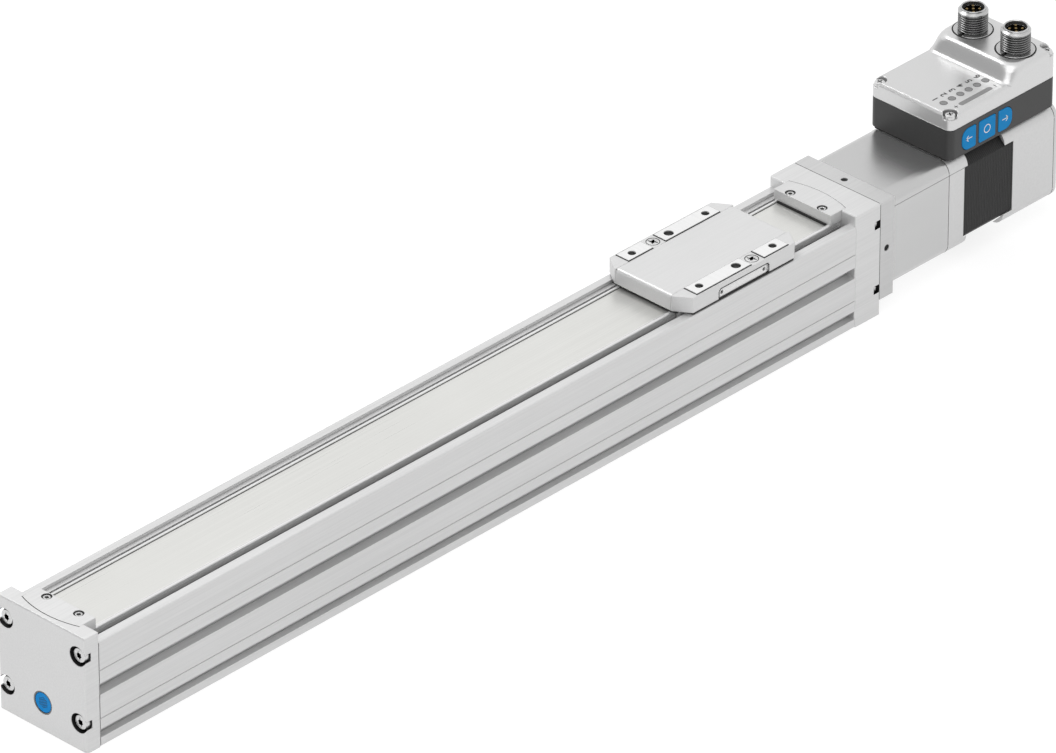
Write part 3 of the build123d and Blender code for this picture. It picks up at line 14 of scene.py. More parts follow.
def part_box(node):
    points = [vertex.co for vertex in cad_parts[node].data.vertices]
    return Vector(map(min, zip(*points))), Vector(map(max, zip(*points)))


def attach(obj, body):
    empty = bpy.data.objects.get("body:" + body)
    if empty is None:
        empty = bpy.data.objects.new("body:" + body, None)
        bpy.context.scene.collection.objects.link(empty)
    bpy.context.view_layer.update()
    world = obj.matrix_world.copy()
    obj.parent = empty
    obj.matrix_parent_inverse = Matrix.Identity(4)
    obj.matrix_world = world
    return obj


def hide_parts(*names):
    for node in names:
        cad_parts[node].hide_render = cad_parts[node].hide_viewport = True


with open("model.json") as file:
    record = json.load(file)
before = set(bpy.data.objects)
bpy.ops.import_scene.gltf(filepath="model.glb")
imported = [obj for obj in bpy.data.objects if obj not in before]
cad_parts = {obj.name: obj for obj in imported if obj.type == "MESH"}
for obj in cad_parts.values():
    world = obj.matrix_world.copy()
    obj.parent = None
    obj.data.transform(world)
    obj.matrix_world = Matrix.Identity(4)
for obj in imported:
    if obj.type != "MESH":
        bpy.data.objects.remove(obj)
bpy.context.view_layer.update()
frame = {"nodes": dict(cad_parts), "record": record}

# Units
MM = 0.001
MICRON = 0.000001
FULL_TURN = 2 * math.pi
SHARP_ANGLE = math.radians(32)

# Camera of the photograph
VIEW_AZIMUTH = math.radians(-46.303)
VIEW_ELEVATION = math.radians(31.446)
VIEW_DISTANCE = 4.543
VIEW_TARGET = Vector((0.06708, 0.02104, 0.02))
IMAGE_WIDTH = 1056
FOCAL_PIXELS = 11971
SENSOR_WIDTH = 36

# Light and floor
WHITE = (1, 1, 1, 1)
FILL_STRENGTH = 0.56
BACK_LAMP = {"place": Vector((-0.05, 1.25, 1.75)), "size": 0.8, "power": 13}
FRONT_LAMP = {"place": Vector((-0.75, -0.6, 1.8)), "size": 1.5, "power": 12}
FLOOR_SIZE = 12
FLOOR_COLOUR = (0.8, 0.8, 0.8, 1)
FLOOR_GLOW = 0.84
FLOOR_SHADE = 0.26
DARK_REFLECTION = 0.42

# Gaps and lifts of the shapes; these and all sizes below, up to the finishes, are millimetres
MERGE_GAP = 0.0005
TOUCH = 0.01
LINE_RISE = 0.02
RING_RISE = 0.03

# Screws: the head stands on Z = 0, the shank hangs below it
CAP_SCREW = {
    "radius": 3.0, "height": 2.4, "dome": 0.45, "depth": 1.3, "shank_radius": 1.2,
    "shank_length": 12,
}
CONTROLLER_SCREW = {
    "radius": 2.2, "height": 1.7, "dome": 0.7, "depth": 0.9, "shank_radius": 1.0,
    "shank_length": 5,
}
COVER_SCREW = {
    "radius": 2.6, "height": 1.6, "dome": 0.22, "depth": 0.9, "shank_radius": 1.2,
    "shank_length": 2.9,
}
DOME_SHOULDER = 0.3
RECESS_TAPER = 0.85
CAP_STAR_RADIUS = 1.35
STAR_LOBES = 6
STAR_DEPTH = 0.14
CONTROLLER_CROSS = (1.25, 0.32)
CONTROLLER_SCREW_TURNS = (0.4, 0.9)
COVER_CROSS = (1.5, 0.36)
COVER_SCREW_TURN = 0.5
COVER_SCREW_OFFSET = 8.4
COVER_SCREW_ROW = 17.9
COVER_RING_RADII = (2.55, 2.82)
CLAMP_SCREW_RADIUS = 1.5
CLAMP_SCREW_BEVEL = 0.2
CLAMP_SCREW_ROW = 8.3
CLAMP_SOCKET_RADIUS = 0.95
CLAMP_SOCKET_DEPTH = 1.2
CLAMP_RIM_RADII = (1.52, 2.06)
CLAMP_RIM_RISE = 0.12
CLAMP_SHADE_RADIUS = 0.8
CLAMP_SHADE_DROPS = (0.5, 0.2)
# Painted shade in the cap screws' pockets
POCKET_FLOOR_SHADE_RADII = (1.4, 3.65)
POCKET_FLOOR_SHADE_HEIGHTS = (0.02, 0.3)
POCKET_WALL_SHADE_RADII = (3.98, 4.08)
POCKET_WALL_SHADE_HEIGHTS = (0.05, 3.0)
POCKET_WALL_SHADE_ANGLE = math.radians(296)
POCKET_OPENING = math.radians(32)
ADAPTER_SCREW_RADIUS = 1.4
ADAPTER_SCREW_SINK = 0.8
# Painted shade in the adapter's set screw sockets
ADAPTER_SHADE_CUP_OUTLINE = [(0, -0.1), (1.36, -0.1), (1.36, 0.35), (1.22, 0.35), (0.85, 0.04), (0, 0.04)]

# Round connectors
THREAD_PITCH = 1.0
THREAD_ROOT = 5.45
THREAD_CREST = 5.95
THREAD_RIDGES = 8
THREAD_START = 0.25
THREAD_RISE, THREAD_FALL, THREAD_END = 0.36, 0.52, 0.88
SHELL_BORE = 4.35
SHELL_LIP = 5.0
LIP_BEVEL = 0.12
BORE_BEVEL = 0.25
COLLAR_HEIGHT = 1.85
COLLAR_BEVEL = (1.35, 0.65)
FLANGE_RADIUS = 7.7
FLANGE_RISE = 0.3
FLANGE_OVERLAP = 0.05
NOTCH_ANGLE = math.radians(14)
CONNECTOR_RING_OUTLINE = [
    (7.72, -0.1), (8.25, -0.1), (8.25, 0.02), (8.1, 0.08), (7.87, 0.08), (7.72, 0.02),
]

# Stator and vent
LAMINATION_PITCH = 0.95
LAMINATION_GROOVE = 0.16
GROOVE_SHARE = 0.32
STATOR_CORNER_CUT = 5.6
STATOR_BORE = 11.5
VENT_RIM_OUTLINE = [(4.2, -0.9), (4.8, -0.9), (4.8, -0.15), (4.65, 0), (4.35, 0), (4.2, -0.15)]
VENT_DISC_OUTLINE = [(0, -7), (4.15, -7), (4.15, -0.35), (3.9, -0.12), (2.4, -0.2), (0, -0.2)]
VENT_HOLE_RADIUS = 0.22
VENT_HOLE_HEIGHTS = (-0.1, 0.02)
VENT_ROWS = 3
VENT_COLUMN_PITCH = 0.72
VENT_ROW_PITCH = 0.62
VENT_FIELD_RADIUS = 2.3
VENT_FACE = -0.2

# Signs on the keys and the deck
SIGN_THICKNESS = 0.04
CAPITAL_SHARE = 0.7
STROKE_SHARE = 1 / 40
ARROW_TIP = 1.6
ARROW_SHAFT_END = 1.4
ARROW_BARB_START = 0.5
ARROW_BARB = 1.1
ARROW_WIDTH = 0.4
KEY_RING_RADII = (1.5, 1.9)
WINDOW_COUNT = 6
WINDOW_RADIUS = 1.5
WINDOW_RING_RADII = (1.42, 1.6)
DIGIT_HEIGHT = 2.9
DIGIT_OFFSET = 4.3
LEVEL_SIGN_GAP = 1.9
LEVEL_SIGN_REACH = 0.7
LEVEL_SIGN_WIDTH = 0.32
FRONT_DECK_HEIGHT = 6.8
FRONT_POCKET_DEPTH = 2.4
REAR_POCKET_DEPTH = 3.6

# Strip rails, carriage and table
RAIL_WIDTH = 1.3
RAIL_LIP = 1.2
RAIL_STEP = 0.9
RAIL_SKIRT = 0.25
RAIL_SKIRT_DROP = 1.05
RAIL_ROUND = 0.62
RAIL_SMALL_ROUND = 0.15
# Painted shade in the gaps between the strip and its rails
STRIP_SHADE_INSET = 0.14
STRIP_SHADE_WIDTH = 0.26
STRIP_SHADE_HEIGHT = 0.05
LONG_PAD_ENDS = (-25.3, 4.6)
SHORT_PAD_ENDS = (12.2, 25.3)
PAD_SIDES = (14.6, 20.9)
# Painted shade round the table's pads
PAD_SHADE_WIDTH = 0.36
PAD_SHADE_HEIGHT = 0.16
PAD_SHADE_RISE = 0.06
INSERT_JOINT_GAP = 0.15
INSERT_CORNER = 0.9
INSERT_JOINT_WIDTH = 0.42
INSERT_JOINT_HEIGHT = 0.1
# Painted shade in the gap under the carriage's long sides
GAP_SHADE_INSET = 0.75
GAP_SHADE_END_GAP = 5.2
GAP_SHADE_WIDTH = 1.0
GAP_SHADE_HEIGHT = 0.78
GAP_SHADE_LIFT = 0.08
TABLE_HOLE_OFFSET = 20.5
TABLE_HOLE_ROW = 17.5
LINER_RADIUS = 1.64
LINER_START = 0.3
LINER_FIRST_RIDGE = 0.45
LINER_RIDGES = 6
LINER_PITCH = 0.7
LINER_RIDGE_OUTLINE = [(1.62, 0), (1.4, 0.3), (1.4, 0.4), (1.62, 0.65)]
LINER_FLOOR = 4.6
LINER_END = 4.8
CENTRING_FLOOR_OUTLINE = [
    (0, -1.0), (1.7, -1.0), (1.96, -0.35), (1.98, -0.35), (1.98, -1.9), (0, -1.9),
]

# Joints, seals and painted shade on the frame
CLAMP_JOINTS = (("front_clamp_plate", -1, 0.34), ("drive_clamp_plate", 1, 0.14))
CLAMP_ARC_RISE = 2.6
ARC_STEPS = 24
SECTION_JOINT_RISE = 0.01
SECTION_JOINT_HALF = 0.13
ADAPTER_CORNER = 0.5
MOTOR_CORNER = 5.4
CORNER_SHADE_DROP = 5.5
CORNER_SHADE_HALF = 0.07
CORNER_SHADE_START = 0.3
CORNER_SHADE_END = 0.1
STRIP_WIPER_INSET = 0.5
STRIP_WIPER_OFFSET = 0.32
STRIP_WIPER_WIDTH = 0.62
STRIP_WIPER_HEIGHT = 0.8
STRIP_WIPER_LIFT = 0.42
# Painted shade under the controller base's bevelled front edge
FOOT_SHADE_INSET = 0.65
FOOT_SHADE_REACH = 18.0
FOOT_SHADE_WIDTH = 0.7
FOOT_SHADE_HEIGHT = 0.5
FOOT_SHADE_LIFT = 0.27


def mm_box(node):
    """Lowest and highest corner of a CAD node, in millimetres."""
    low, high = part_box(node)
    return low / MM, high / MM


# Shader node groups


def placed(tree, kind, *inputs, operation=None):
    """A new shader node; each given input takes a value or another node's output."""
    node = tree.nodes.new("ShaderNode" + kind)
    if operation:
        node.operation = operation
    for label, source in inputs:
        if isinstance(source, bpy.types.NodeSocket):
            tree.links.new(source, node.inputs[label])
        else:
            node.inputs[label].default_value = source
    return node


def new_group(name, inputs, outputs):
    """A node group with its named sockets, and its two end nodes."""
    group = bpy.data.node_groups.new(name, "ShaderNodeTree")
    for label, kind, value in inputs:
        item = group.interface.new_socket(label, in_out="INPUT", socket_type=kind)
        item.default_value = value
    for label, kind in outputs:
        group.interface.new_socket(label, in_out="OUTPUT", socket_type=kind)
    return group, group.nodes.new("NodeGroupInput"), group.nodes.new("NodeGroupOutput")


def grain_group():
    """Noise stretched along an axis: brush lines, extrusion streaks or an even speckle."""
    group, enter, leave = new_group(
        "grain",
        [("Stretch", "NodeSocketVector", (1, 1, 1)), ("Offset", "NodeSocketVector", (0, 0, 0))],
        [("Value", "NodeSocketFloat")],
    )
    place = placed(group, "TexCoord")
    spread = placed(
        group, "VectorMath", (0, place.outputs["Object"]), (1, enter.outputs["Stretch"]),
        (2, enter.outputs["Offset"]), operation="MULTIPLY_ADD")
    noise = placed(group, "TexNoise", ("Vector", spread.outputs[0]), ("Scale", 1), ("Detail", 4),
                   ("Roughness", 0.65))
    sharpen = placed(group, "MapRange", ("Value", noise.outputs["Fac"]), ("From Min", 0.3),
                     ("From Max", 0.7))
    group.links.new(sharpen.outputs["Result"], leave.inputs["Value"])
    return group


def edge_group():
    """Softened edges: their normal, a mask of painted highlights on outer edges and one of painted
    shade in inner corners.
    """
    group, enter, leave = new_group(
        "soft edges",
        [("Radius", "NodeSocketFloat", 0.0002), ("Gain", "NodeSocketFloat", 3.0),
         ("Reach", "NodeSocketFloat", 0.0006)],
        [("Normal", "NodeSocketVector"), ("Mask", "NodeSocketFloat"),
         ("Corner shade", "NodeSocketFloat")],
    )
    soft = placed(group, "Bevel", ("Radius", enter.outputs["Radius"]))
    soft.samples = 4
    shape = placed(group, "NewGeometry")
    # Painted highlight: the mask grows where the softened normal leaves the true one, along outer
    # edges.
    along = placed(group, "VectorMath", (0, soft.outputs["Normal"]), (1, shape.outputs["Normal"]),
                   operation="DOT_PRODUCT")
    lost = placed(group, "Math", (0, 1), (1, along.outputs["Value"]), operation="SUBTRACT")
    gain = placed(group, "Math", (0, lost.outputs[0]), (1, enter.outputs["Gain"]),
                  operation="MULTIPLY")
    gain.use_clamp = True
    # Painted shade: ambient occlusion finds inner corners and joints, and the last output marks
    # them for darkening.
    near = placed(group, "AmbientOcclusion", ("Distance", enter.outputs["Reach"]))
    near.samples = 4
    near.only_local = True
    joint = placed(group, "MapRange", ("Value", near.outputs["AO"]), ("From Min", 0.5),
                   ("From Max", 0.9), ("To Min", 1), ("To Max", 0))
    outer = placed(group, "Math", (0, gain.outputs[0]), (1, joint.outputs["Result"]),
                   operation="SUBTRACT")
    outer.use_clamp = True
    group.links.new(soft.outputs["Normal"], leave.inputs["Normal"])
    group.links.new(outer.outputs[0], leave.inputs["Mask"])
    group.links.new(joint.outputs["Result"], leave.inputs["Corner shade"])
    return group


GRAIN = grain_group()
EDGES = edge_group()


# Materials


def grey(value):
    """A neutral colour from its grey level on screen, from 0 to 255."""
    level = value / 255
    linear = ((level + 0.055) / 1.055) ** 2.4 if level > 0.04045 else level / 12.92
    return (linear, linear, linear, 1)


def tinted(red, green, blue):
    """A colour from its three levels on screen."""
    return (grey(red)[0], grey(green)[0], grey(blue)[0], 1)


# Colour of the painted shade in inner corners.
PAINTED_SHADE_COLOUR = grey(70)
PATCHES = (9, 9, 9)
PATCH_OFFSET = (3.1, 5.7, 1.9)
PATCH_SHARE = 0.35
BUMP_STRENGTH = 0.25


def group_node(tree, group, **values):
    """A placed node group with its own values."""
    node = placed(tree, "Group")
    node.node_tree = group
    for label, value in values.items():
        node.inputs[label].default_value = value
    return node


def colour_mix(tree, share, first, second):
    """The output of a mix of two colours."""
    mix = placed(tree, "Mix", (0, share), (6, first), (7, second))
    mix.data_type = "RGBA"
    return mix.outputs[2]


def finish(name, dark, light, edge, metallic, rough, stretch, height,
           edge_radius=0.0002, highlight_gain=2.5, specular=0.5, joint=PAINTED_SHADE_COLOUR):
    """A material with grain, a painted highlight in the edge colour along outer edges, and painted
    shade in inner corners.

    Its grain is stretched by the three factors of stretch, is height microns deep, and moves
    the colour from dark to light and the roughness between its two values.
    """
    material = bpy.data.materials.new(name)
    material.use_nodes = True
    tree = material.node_tree
    tree.nodes.clear()
    fine = group_node(tree, GRAIN, Stretch=stretch)
    broad = group_node(tree, GRAIN, Stretch=PATCHES, Offset=PATCH_OFFSET)
    blend = placed(tree, "Mix", (0, PATCH_SHARE), (2, fine.outputs["Value"]),
                   (3, broad.outputs["Value"]))
    edges = group_node(tree, EDGES, Radius=edge_radius, Gain=highlight_gain)
    colour = colour_mix(tree, blend.outputs[0], dark, light)
    # Painted highlight: the edge colour laid along outer edges.
    highlighted = colour_mix(tree, edges.outputs["Mask"], colour, edge)
    # Painted shade: inner corners darkened where ambient occlusion finds them.
    shaded = colour_mix(tree, edges.outputs["Corner shade"], highlighted, joint)
    spread = placed(tree, "MapRange", ("Value", blend.outputs[0]), ("To Min", rough[0]),
                    ("To Max", rough[1]))
    bump = placed(
        tree, "Bump", ("Strength", BUMP_STRENGTH), ("Distance", height * MICRON),
        ("Height", fine.outputs["Value"]), ("Normal", edges.outputs["Normal"]))
    shader = placed(
        tree, "BsdfPrincipled", ("Base Color", shaded), ("Metallic", metallic),
        ("Specular IOR Level", specular), ("Roughness", spread.outputs["Result"]),
        ("Normal", bump.outputs["Normal"]))
    placed(tree, "OutputMaterial", ("Surface", shader.outputs[0]))
    return material


ALONG_X = (14, 1400, 1400)
EVEN_FINE = (2600, 2600, 2600)
EVEN = (900, 900, 900)

# In each finish the third colour is the painted highlight along outer edges.
FINISHES = {
    "anodised_aluminium": finish(
        "anodised aluminium", grey(212), grey(226), grey(244), 0.52, (0.36, 0.46), ALONG_X, 4),
    "motor_housing": finish(
        "motor housing", grey(210), grey(220), grey(240), 0.55, (0.34, 0.44), EVEN, 6),
    "brushed_strip": finish(
        "brushed strip", tinted(214, 214, 211), tinted(228, 228, 225), grey(240), 0.72,
        (0.26, 0.36), (6, 3200, 3200), 5, edge_radius=0.00005),
    "bright_steel": finish(
        "bright steel", grey(226), grey(238), grey(248), 0.5, (0.2, 0.3), (6, 2400, 2400), 3),
    "screw_steel": finish(
        "screw steel", grey(204), grey(226), grey(244), 0.7, (0.2, 0.3), EVEN_FINE, 3,
        edge_radius=0.00012),
    "carriage_finish": finish(
        "carriage finish", grey(216), grey(224), grey(244), 0.42, (0.4, 0.5), (40, 1600, 1600), 4,
        edge_radius=0.00035),
    "machined_aluminium": finish(
        "machined aluminium", grey(236), grey(246), grey(252), 0.3, (0.3, 0.4), (900, 60, 900), 4,
        edge_radius=0.0001),
    "black_rubber": finish(
        "black rubber", grey(18), grey(34), grey(52), 0.0, (0.6, 0.75), EVEN, 20),
    "blue_plastic": finish(
        "blue plastic", tinted(0, 134, 204), tinted(0, 146, 214), tinted(70, 176, 228), 0.0,
        (0.4, 0.5), EVEN_FINE, 4, edge_radius=0.00015, specular=0.15),
    "stator_laminations": finish(
        "stator laminations", grey(24), grey(44), grey(70), 0.3, (0.45, 0.6), (1100, 90, 90), 8),
    "dark_plastic": finish(
        "dark plastic", grey(44), grey(56), grey(84), 0.0, (0.4, 0.5), EVEN_FINE, 6,
        edge_radius=0.0004, highlight_gain=1.2),
    "cast_cover": finish(
        "cast cover", grey(206), grey(218), grey(244), 0.82, (0.27, 0.35), EVEN_FINE, 3,
        edge_radius=0.0006, highlight_gain=1.0),
    # Painted shade: the dark base colour stands in for the shade and dark reflections on nickel
    # parts such as the threaded shells.
    "nickel": finish(
        "nickel", grey(96), grey(120), grey(226), 1.0, (0.2, 0.3), EVEN_FINE, 2,
        edge_radius=0.00012, highlight_gain=4.0),
    "gold_contacts": finish(
        "gold contacts", tinted(120, 100, 62), tinted(150, 126, 80), tinted(190, 170, 120), 1.0,
        (0.3, 0.4), EVEN_FINE, 2, edge_radius=0.0001),
    "window_plastic": finish(
        "window plastic", grey(122), grey(142), grey(176), 0.0, (0.25, 0.35), EVEN, 4,
        edge_radius=0.0001),
    "board": finish(
        "board", tinted(18, 74, 42), tinted(28, 96, 56), tinted(60, 130, 84), 0.0, (0.35, 0.45),
        EVEN, 4),
}

SATIN_HOUSING = finish(
    "satin housing", grey(195), grey(199), grey(222), 0.88, (0.25, 0.27), ALONG_X, 0.3,
    highlight_gain=1.0)
# The profile's painted shade in inner corners is a lighter grey.
PROFILE_ALUMINIUM = finish(
    "profile aluminium", grey(210), grey(224), grey(244), 0.52, (0.36, 0.46), ALONG_X, 3,
    joint=grey(160))
ADAPTER_ALUMINIUM = finish(
    "adapter aluminium", grey(198), grey(212), grey(240), 0.52, (0.36, 0.46), ALONG_X, 3)
PRINT_WHITE = finish(
    "white print", grey(236), grey(246), grey(250), 0.0, (0.5, 0.6), EVEN_FINE, 2,
    edge_radius=0.00002)
PRINT_DARK = finish(
    "dark print", grey(34), grey(48), grey(60), 0.0, (0.5, 0.6), EVEN_FINE, 2,
    edge_radius=0.00002)
VENT_BLUE = finish(
    "vent blue", tinted(0, 134, 212), tinted(0, 150, 226), tinted(40, 170, 236), 0.0,
    (0.4, 0.5), EVEN_FINE, 4, edge_radius=0.0001, specular=0.12)
DEEP_BLACK = finish(
    "deep black", grey(8), grey(16), grey(24), 0.0, (0.6, 0.75), EVEN, 6)
# Painted light: a lit copy of the nickel, for the collars and flanges.
LIT_NICKEL = finish(
    "lit nickel", grey(176), grey(204), grey(240), 0.9, (0.2, 0.3), EVEN_FINE, 2,
    edge_radius=0.0001)
DARK_STEEL = finish(
    "dark steel", grey(60), grey(84), grey(130), 0.6, (0.3, 0.4), EVEN_FINE, 3,
    edge_radius=0.0001)
NODE_FINISHES = {
    "coupling_housing": SATIN_HOUSING,
    "profile": PROFILE_ALUMINIUM,
    "adapter_flange": ADAPTER_ALUMINIUM,
    "insert_screws": DARK_STEEL,
}


def dress_nodes():
    """Every CAD node gets the finish of its slot, or its own where it differs."""
    for part in frame["record"]["subparts"]:
        mesh = frame["nodes"][part["node"]].data
        mesh.materials.clear()
        mesh.materials.append(NODE_FINISHES.get(part["node"], FINISHES[part["material_slot"]]))


# Shapes


def add(obj):
    """Puts an object into the scene."""
    bpy.context.scene.collection.objects.link(obj)


def move(shape, place):
    """Moves a shape by a transform."""
    bmesh.ops.transform(shape, matrix=place, verts=shape.verts)


def lift(shape, height):
    """Raises a shape."""
    bmesh.ops.translate(shape, vec=(0, 0, height), verts=shape.verts)


def piece(name, shape, body, slot, material, *nodes):
    """The shape, drawn in millimetres, as a finished piece on its body."""
    bmesh.ops.remove_doubles(shape, verts=shape.verts, dist=MERGE_GAP)
    bmesh.ops.recalc_face_normals(shape, faces=shape.faces)
    bmesh.ops.scale(shape, vec=(MM, MM, MM), verts=shape.verts)
    mesh = bpy.data.meshes.new(name)
    shape.to_mesh(mesh)
    shape.free()
    mesh.shade_smooth()
    mesh.set_sharp_from_angle(angle=SHARP_ANGLE)
    mesh.materials.append(material)
    obj = bpy.data.objects.new(name, mesh)
    add(obj)
    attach(obj, body)
    if nodes:
        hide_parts(*nodes)


def dark_piece(name, shape, body="frame"):
    """A black piece: some are rubber seals and joints, the rest painted shade in sockets, holes,
    pockets and gaps.
    """
    piece(name, shape, body, "black_rubber", DEEP_BLACK)


def turned(profile, steps=48, angle=FULL_TURN, closed=True):
    """A shape turned round Z from its radii and heights."""
    shape = bmesh.new()
    verts = [shape.verts.new((radius, 0, height)) for radius, height in profile]
    pairs = list(zip(verts, verts[1:]))
    if closed:
        pairs.append((verts[-1], verts[0]))
    edges = [shape.edges.new(pair) for pair in pairs]
    whole = abs(angle - FULL_TURN) < 1e-6
    bmesh.ops.spin(shape, geom=verts + edges, cent=(0, 0, 0), axis=(0, 0, 1), dvec=(0, 0, 0),
                   angle=angle, steps=steps, use_merge=whole)
    if not whole:
        rims = [edge for edge in shape.edges if edge.is_boundary]
        bmesh.ops.holes_fill(shape, edges=rims, sides=0)
    return shape


def flat_ring(inner, outer, low, high, steps=40, angle=FULL_TURN):
    """A ring, or part of one, with a rectangular section."""
    section = [(inner, low), (outer, low), (outer, high), (inner, high)]
    return turned(section, steps=steps, angle=angle)


def plug(radius, low, high, steps):
    """A short solid cylinder."""
    return turned([(0, low), (radius, low), (radius, high), (0, high)], steps=steps, closed=False)


def repeated(shape, places):
    """Copies of a shape at each of the given transforms, in one shape."""
    kept = bpy.data.meshes.new("repeat")
    shape.to_mesh(kept)
    shape.free()
    whole = bmesh.new()
    for place in places:
        before = len(whole.verts)
        whole.from_mesh(kept)
        whole.verts.ensure_lookup_table()
        bmesh.ops.transform(whole, matrix=place, verts=whole.verts[before:])
    bpy.data.meshes.remove(kept)
    return whole


def absorb(whole, shape):
    """Moves a shape into another one."""
    kept = bpy.data.meshes.new("part")
    shape.to_mesh(kept)
    shape.free()
    whole.from_mesh(kept)
    bpy.data.meshes.remove(kept)


def hexagon_recess(shape):
    """The six-sided outline of a clamp screw's socket."""
    return bmesh.ops.create_circle(shape, cap_ends=False, segments=6,
                                   radius=CLAMP_SOCKET_RADIUS)["verts"]


def star_recess(shape, radius):
    """A six-lobed outline drawn from a ring."""
    ring = bmesh.ops.create_circle(shape, cap_ends=False, segments=24, radius=radius)["verts"]
    for number, vert in enumerate(ring):
        lobe = math.cos(STAR_LOBES * FULL_TURN * number / len(ring))
        share = 1 - STAR_DEPTH + STAR_DEPTH * lobe
        vert.co.x *= share
        vert.co.y *= share
    return ring


def cross_recess(shape, reach, half_width):
    """A cross outline with slightly flared arms."""
    arm = [(reach, -half_width), (reach, half_width), (half_width, half_width)]
    ring = []
    for quarter in range(4):
        turn = Matrix.Rotation(quarter * FULL_TURN / 4, 3, "Z")
        ring += [shape.verts.new(turn @ Vector((x, y, 0))) for x, y in arm]
    for first, second in zip(ring, ring[1:] + ring[:1]):
        shape.edges.new((first, second))
    return ring


def recessed(crown, steps, recess, depth, taper):
    """A turned crown, open at its top, closed by a driver recess that narrows to its floor."""
    shape = turned(crown, steps=steps, closed=False)
    bmesh.ops.remove_doubles(shape, verts=shape.verts, dist=MERGE_GAP)
    rim = [edge for edge in shape.edges if edge.is_boundary]
    ring = recess(shape)
    for vert in ring:
        vert.co.z = crown[-1][1]
    outline = [edge for edge in shape.edges if edge.verts[0] in ring and edge.verts[1] in ring]
    bmesh.ops.bridge_loops(shape, edges=rim + outline)
    grown = bmesh.ops.extrude_edge_only(shape, edges=outline)["geom"]
    floor = [item for item in grown if isinstance(item, bmesh.types.BMVert)]
    bmesh.ops.translate(shape, verts=floor, vec=(0, 0, -depth))
    bmesh.ops.scale(shape, verts=floor, vec=(taper, taper, 1))
    rims = [edge for edge in shape.edges if edge.is_boundary]
    bmesh.ops.holes_fill(shape, edges=rims, sides=0)
    return shape


def driven_screw(size, recess):
    """A screw whose head stands on Z = 0, with a driver recess in its domed top."""
    radius, height, dome = size["radius"], size["height"], size["dome"]
    shank_radius, shank_length = size["shank_radius"], size["shank_length"]
    shoulder = DOME_SHOULDER * dome
    crown = [
        (0, -shank_length), (shank_radius, -shank_length), (shank_radius, 0), (radius, 0),
        (radius, height - dome), (radius - shoulder, height - shoulder), (radius - dome, height),
    ]
    return recessed(crown, 32, recess, size["depth"], RECESS_TAPER)


def bars(shape, *lines, width, thickness=SIGN_THICKNESS):
    """Flat bars between pairs of points in the XY plane, joined into one sign."""
    for (x_start, y_start), (x_end, y_end) in lines:
        run = Vector((x_end - x_start, y_end - y_start, 0))
        middle = Vector(((x_start + x_end) / 2, (y_start + y_end) / 2, 0))
        turn = Matrix.Rotation(math.atan2(run.y, run.x), 4, "Z")
        grow = Matrix.Diagonal((run.length + width, width, thickness, 1))
        bmesh.ops.create_cube(shape, size=1, matrix=Matrix.Translation(middle) @ turn @ grow)
    return shape


def text_shape(words, height):
    """Plain text as a shape in the XY plane, centred, in millimetres."""
    curve = bpy.data.curves.new("text", "FONT")
    curve.body = words
    curve.size = height / CAPITAL_SHARE
    curve.align_x = "CENTER"
    curve.align_y = "CENTER"
    curve.extrude = SIGN_THICKNESS / 2
    curve.offset = height * STROKE_SHARE
    curve.resolution_u = 4
    holder = bpy.data.objects.new("text", curve)
    add(holder)
    depsgraph = bpy.context.evaluated_depsgraph_get()
    mesh = bpy.data.meshes.new_from_object(holder.evaluated_get(depsgraph))
    shape = bmesh.new()
    shape.from_mesh(mesh)
    bpy.data.objects.remove(holder)
    bpy.data.curves.remove(curve)
    bpy.data.meshes.remove(mesh)
    return shape


def rectangle(left, right, bottom, top):
    """The four corners of a rectangle."""
    return [(left, bottom), (right, bottom), (right, top), (left, top)]


def outline_bars(shape, x_low, x_high, y_low, y_high, width):
    """Four flat bars round a rectangle, outside it."""
    half = width / 2
    corners = rectangle(x_low - half, x_high + half, y_low - half, y_high + half)
    lines = zip(corners, corners[1:] + corners[:1])
    return bars(shape, *lines, width=width, thickness=PAD_SHADE_HEIGHT)


def prism_along_x(section, x_low, x_high, rounds):
    """A section of (y, z) points drawn out along X, with the given corners rounded."""
    shape = bmesh.new()
    face = shape.faces.new([shape.verts.new((x_low, y, z)) for y, z in section])
    grown = bmesh.ops.extrude_face_region(shape, geom=[face])["geom"]
    moved = [item for item in grown if isinstance(item, bmesh.types.BMVert)]
    bmesh.ops.translate(shape, verts=moved, vec=(x_high - x_low, 0, 0))
    bmesh.ops.recalc_face_normals(shape, faces=shape.faces)
    for (y, z), radius, segments in rounds:
        corner = [
            edge for edge in shape.edges
            if all((vert.co.yz - Vector((y, z))).length < TOUCH for vert in edge.verts)
        ]
        bmesh.ops.bevel(shape, geom=corner, offset=radius, offset_type="OFFSET", affect="EDGES",
                        segments=segments, profile=0.5, material=-1)
    return shape


# Pieces


def cap_screw_places(node, side):
    """Side in Y and place of an end cap's four screw heads, on their pockets' floors."""
    low, high = mm_box(node)
    radius = CAP_SCREW["radius"]
    x_seat = (low.x if side < 0 else high.x) - side * CAP_SCREW["height"]
    turn = Matrix.Rotation(side * FULL_TURN / 4, 4, "Y")
    y_row = (high.y - low.y) / 2 - radius
    return [
        (y_side, Matrix.Translation((x_seat, y_side * y_row, z)) @ turn)
        for y_side in (-1, 1) for z in (low.z + radius, high.z - radius)
    ]


def cap_screws(node, side):
    """Socket screws of an end cap, with six-lobed recesses."""
    head = driven_screw(CAP_SCREW, lambda shape: star_recess(shape, CAP_STAR_RADIUS))
    places = [place for _, place in cap_screw_places(node, side)]
    piece(node + "_driven", repeated(head, places), "frame", "screw_steel",
          FINISHES["screw_steel"], node)


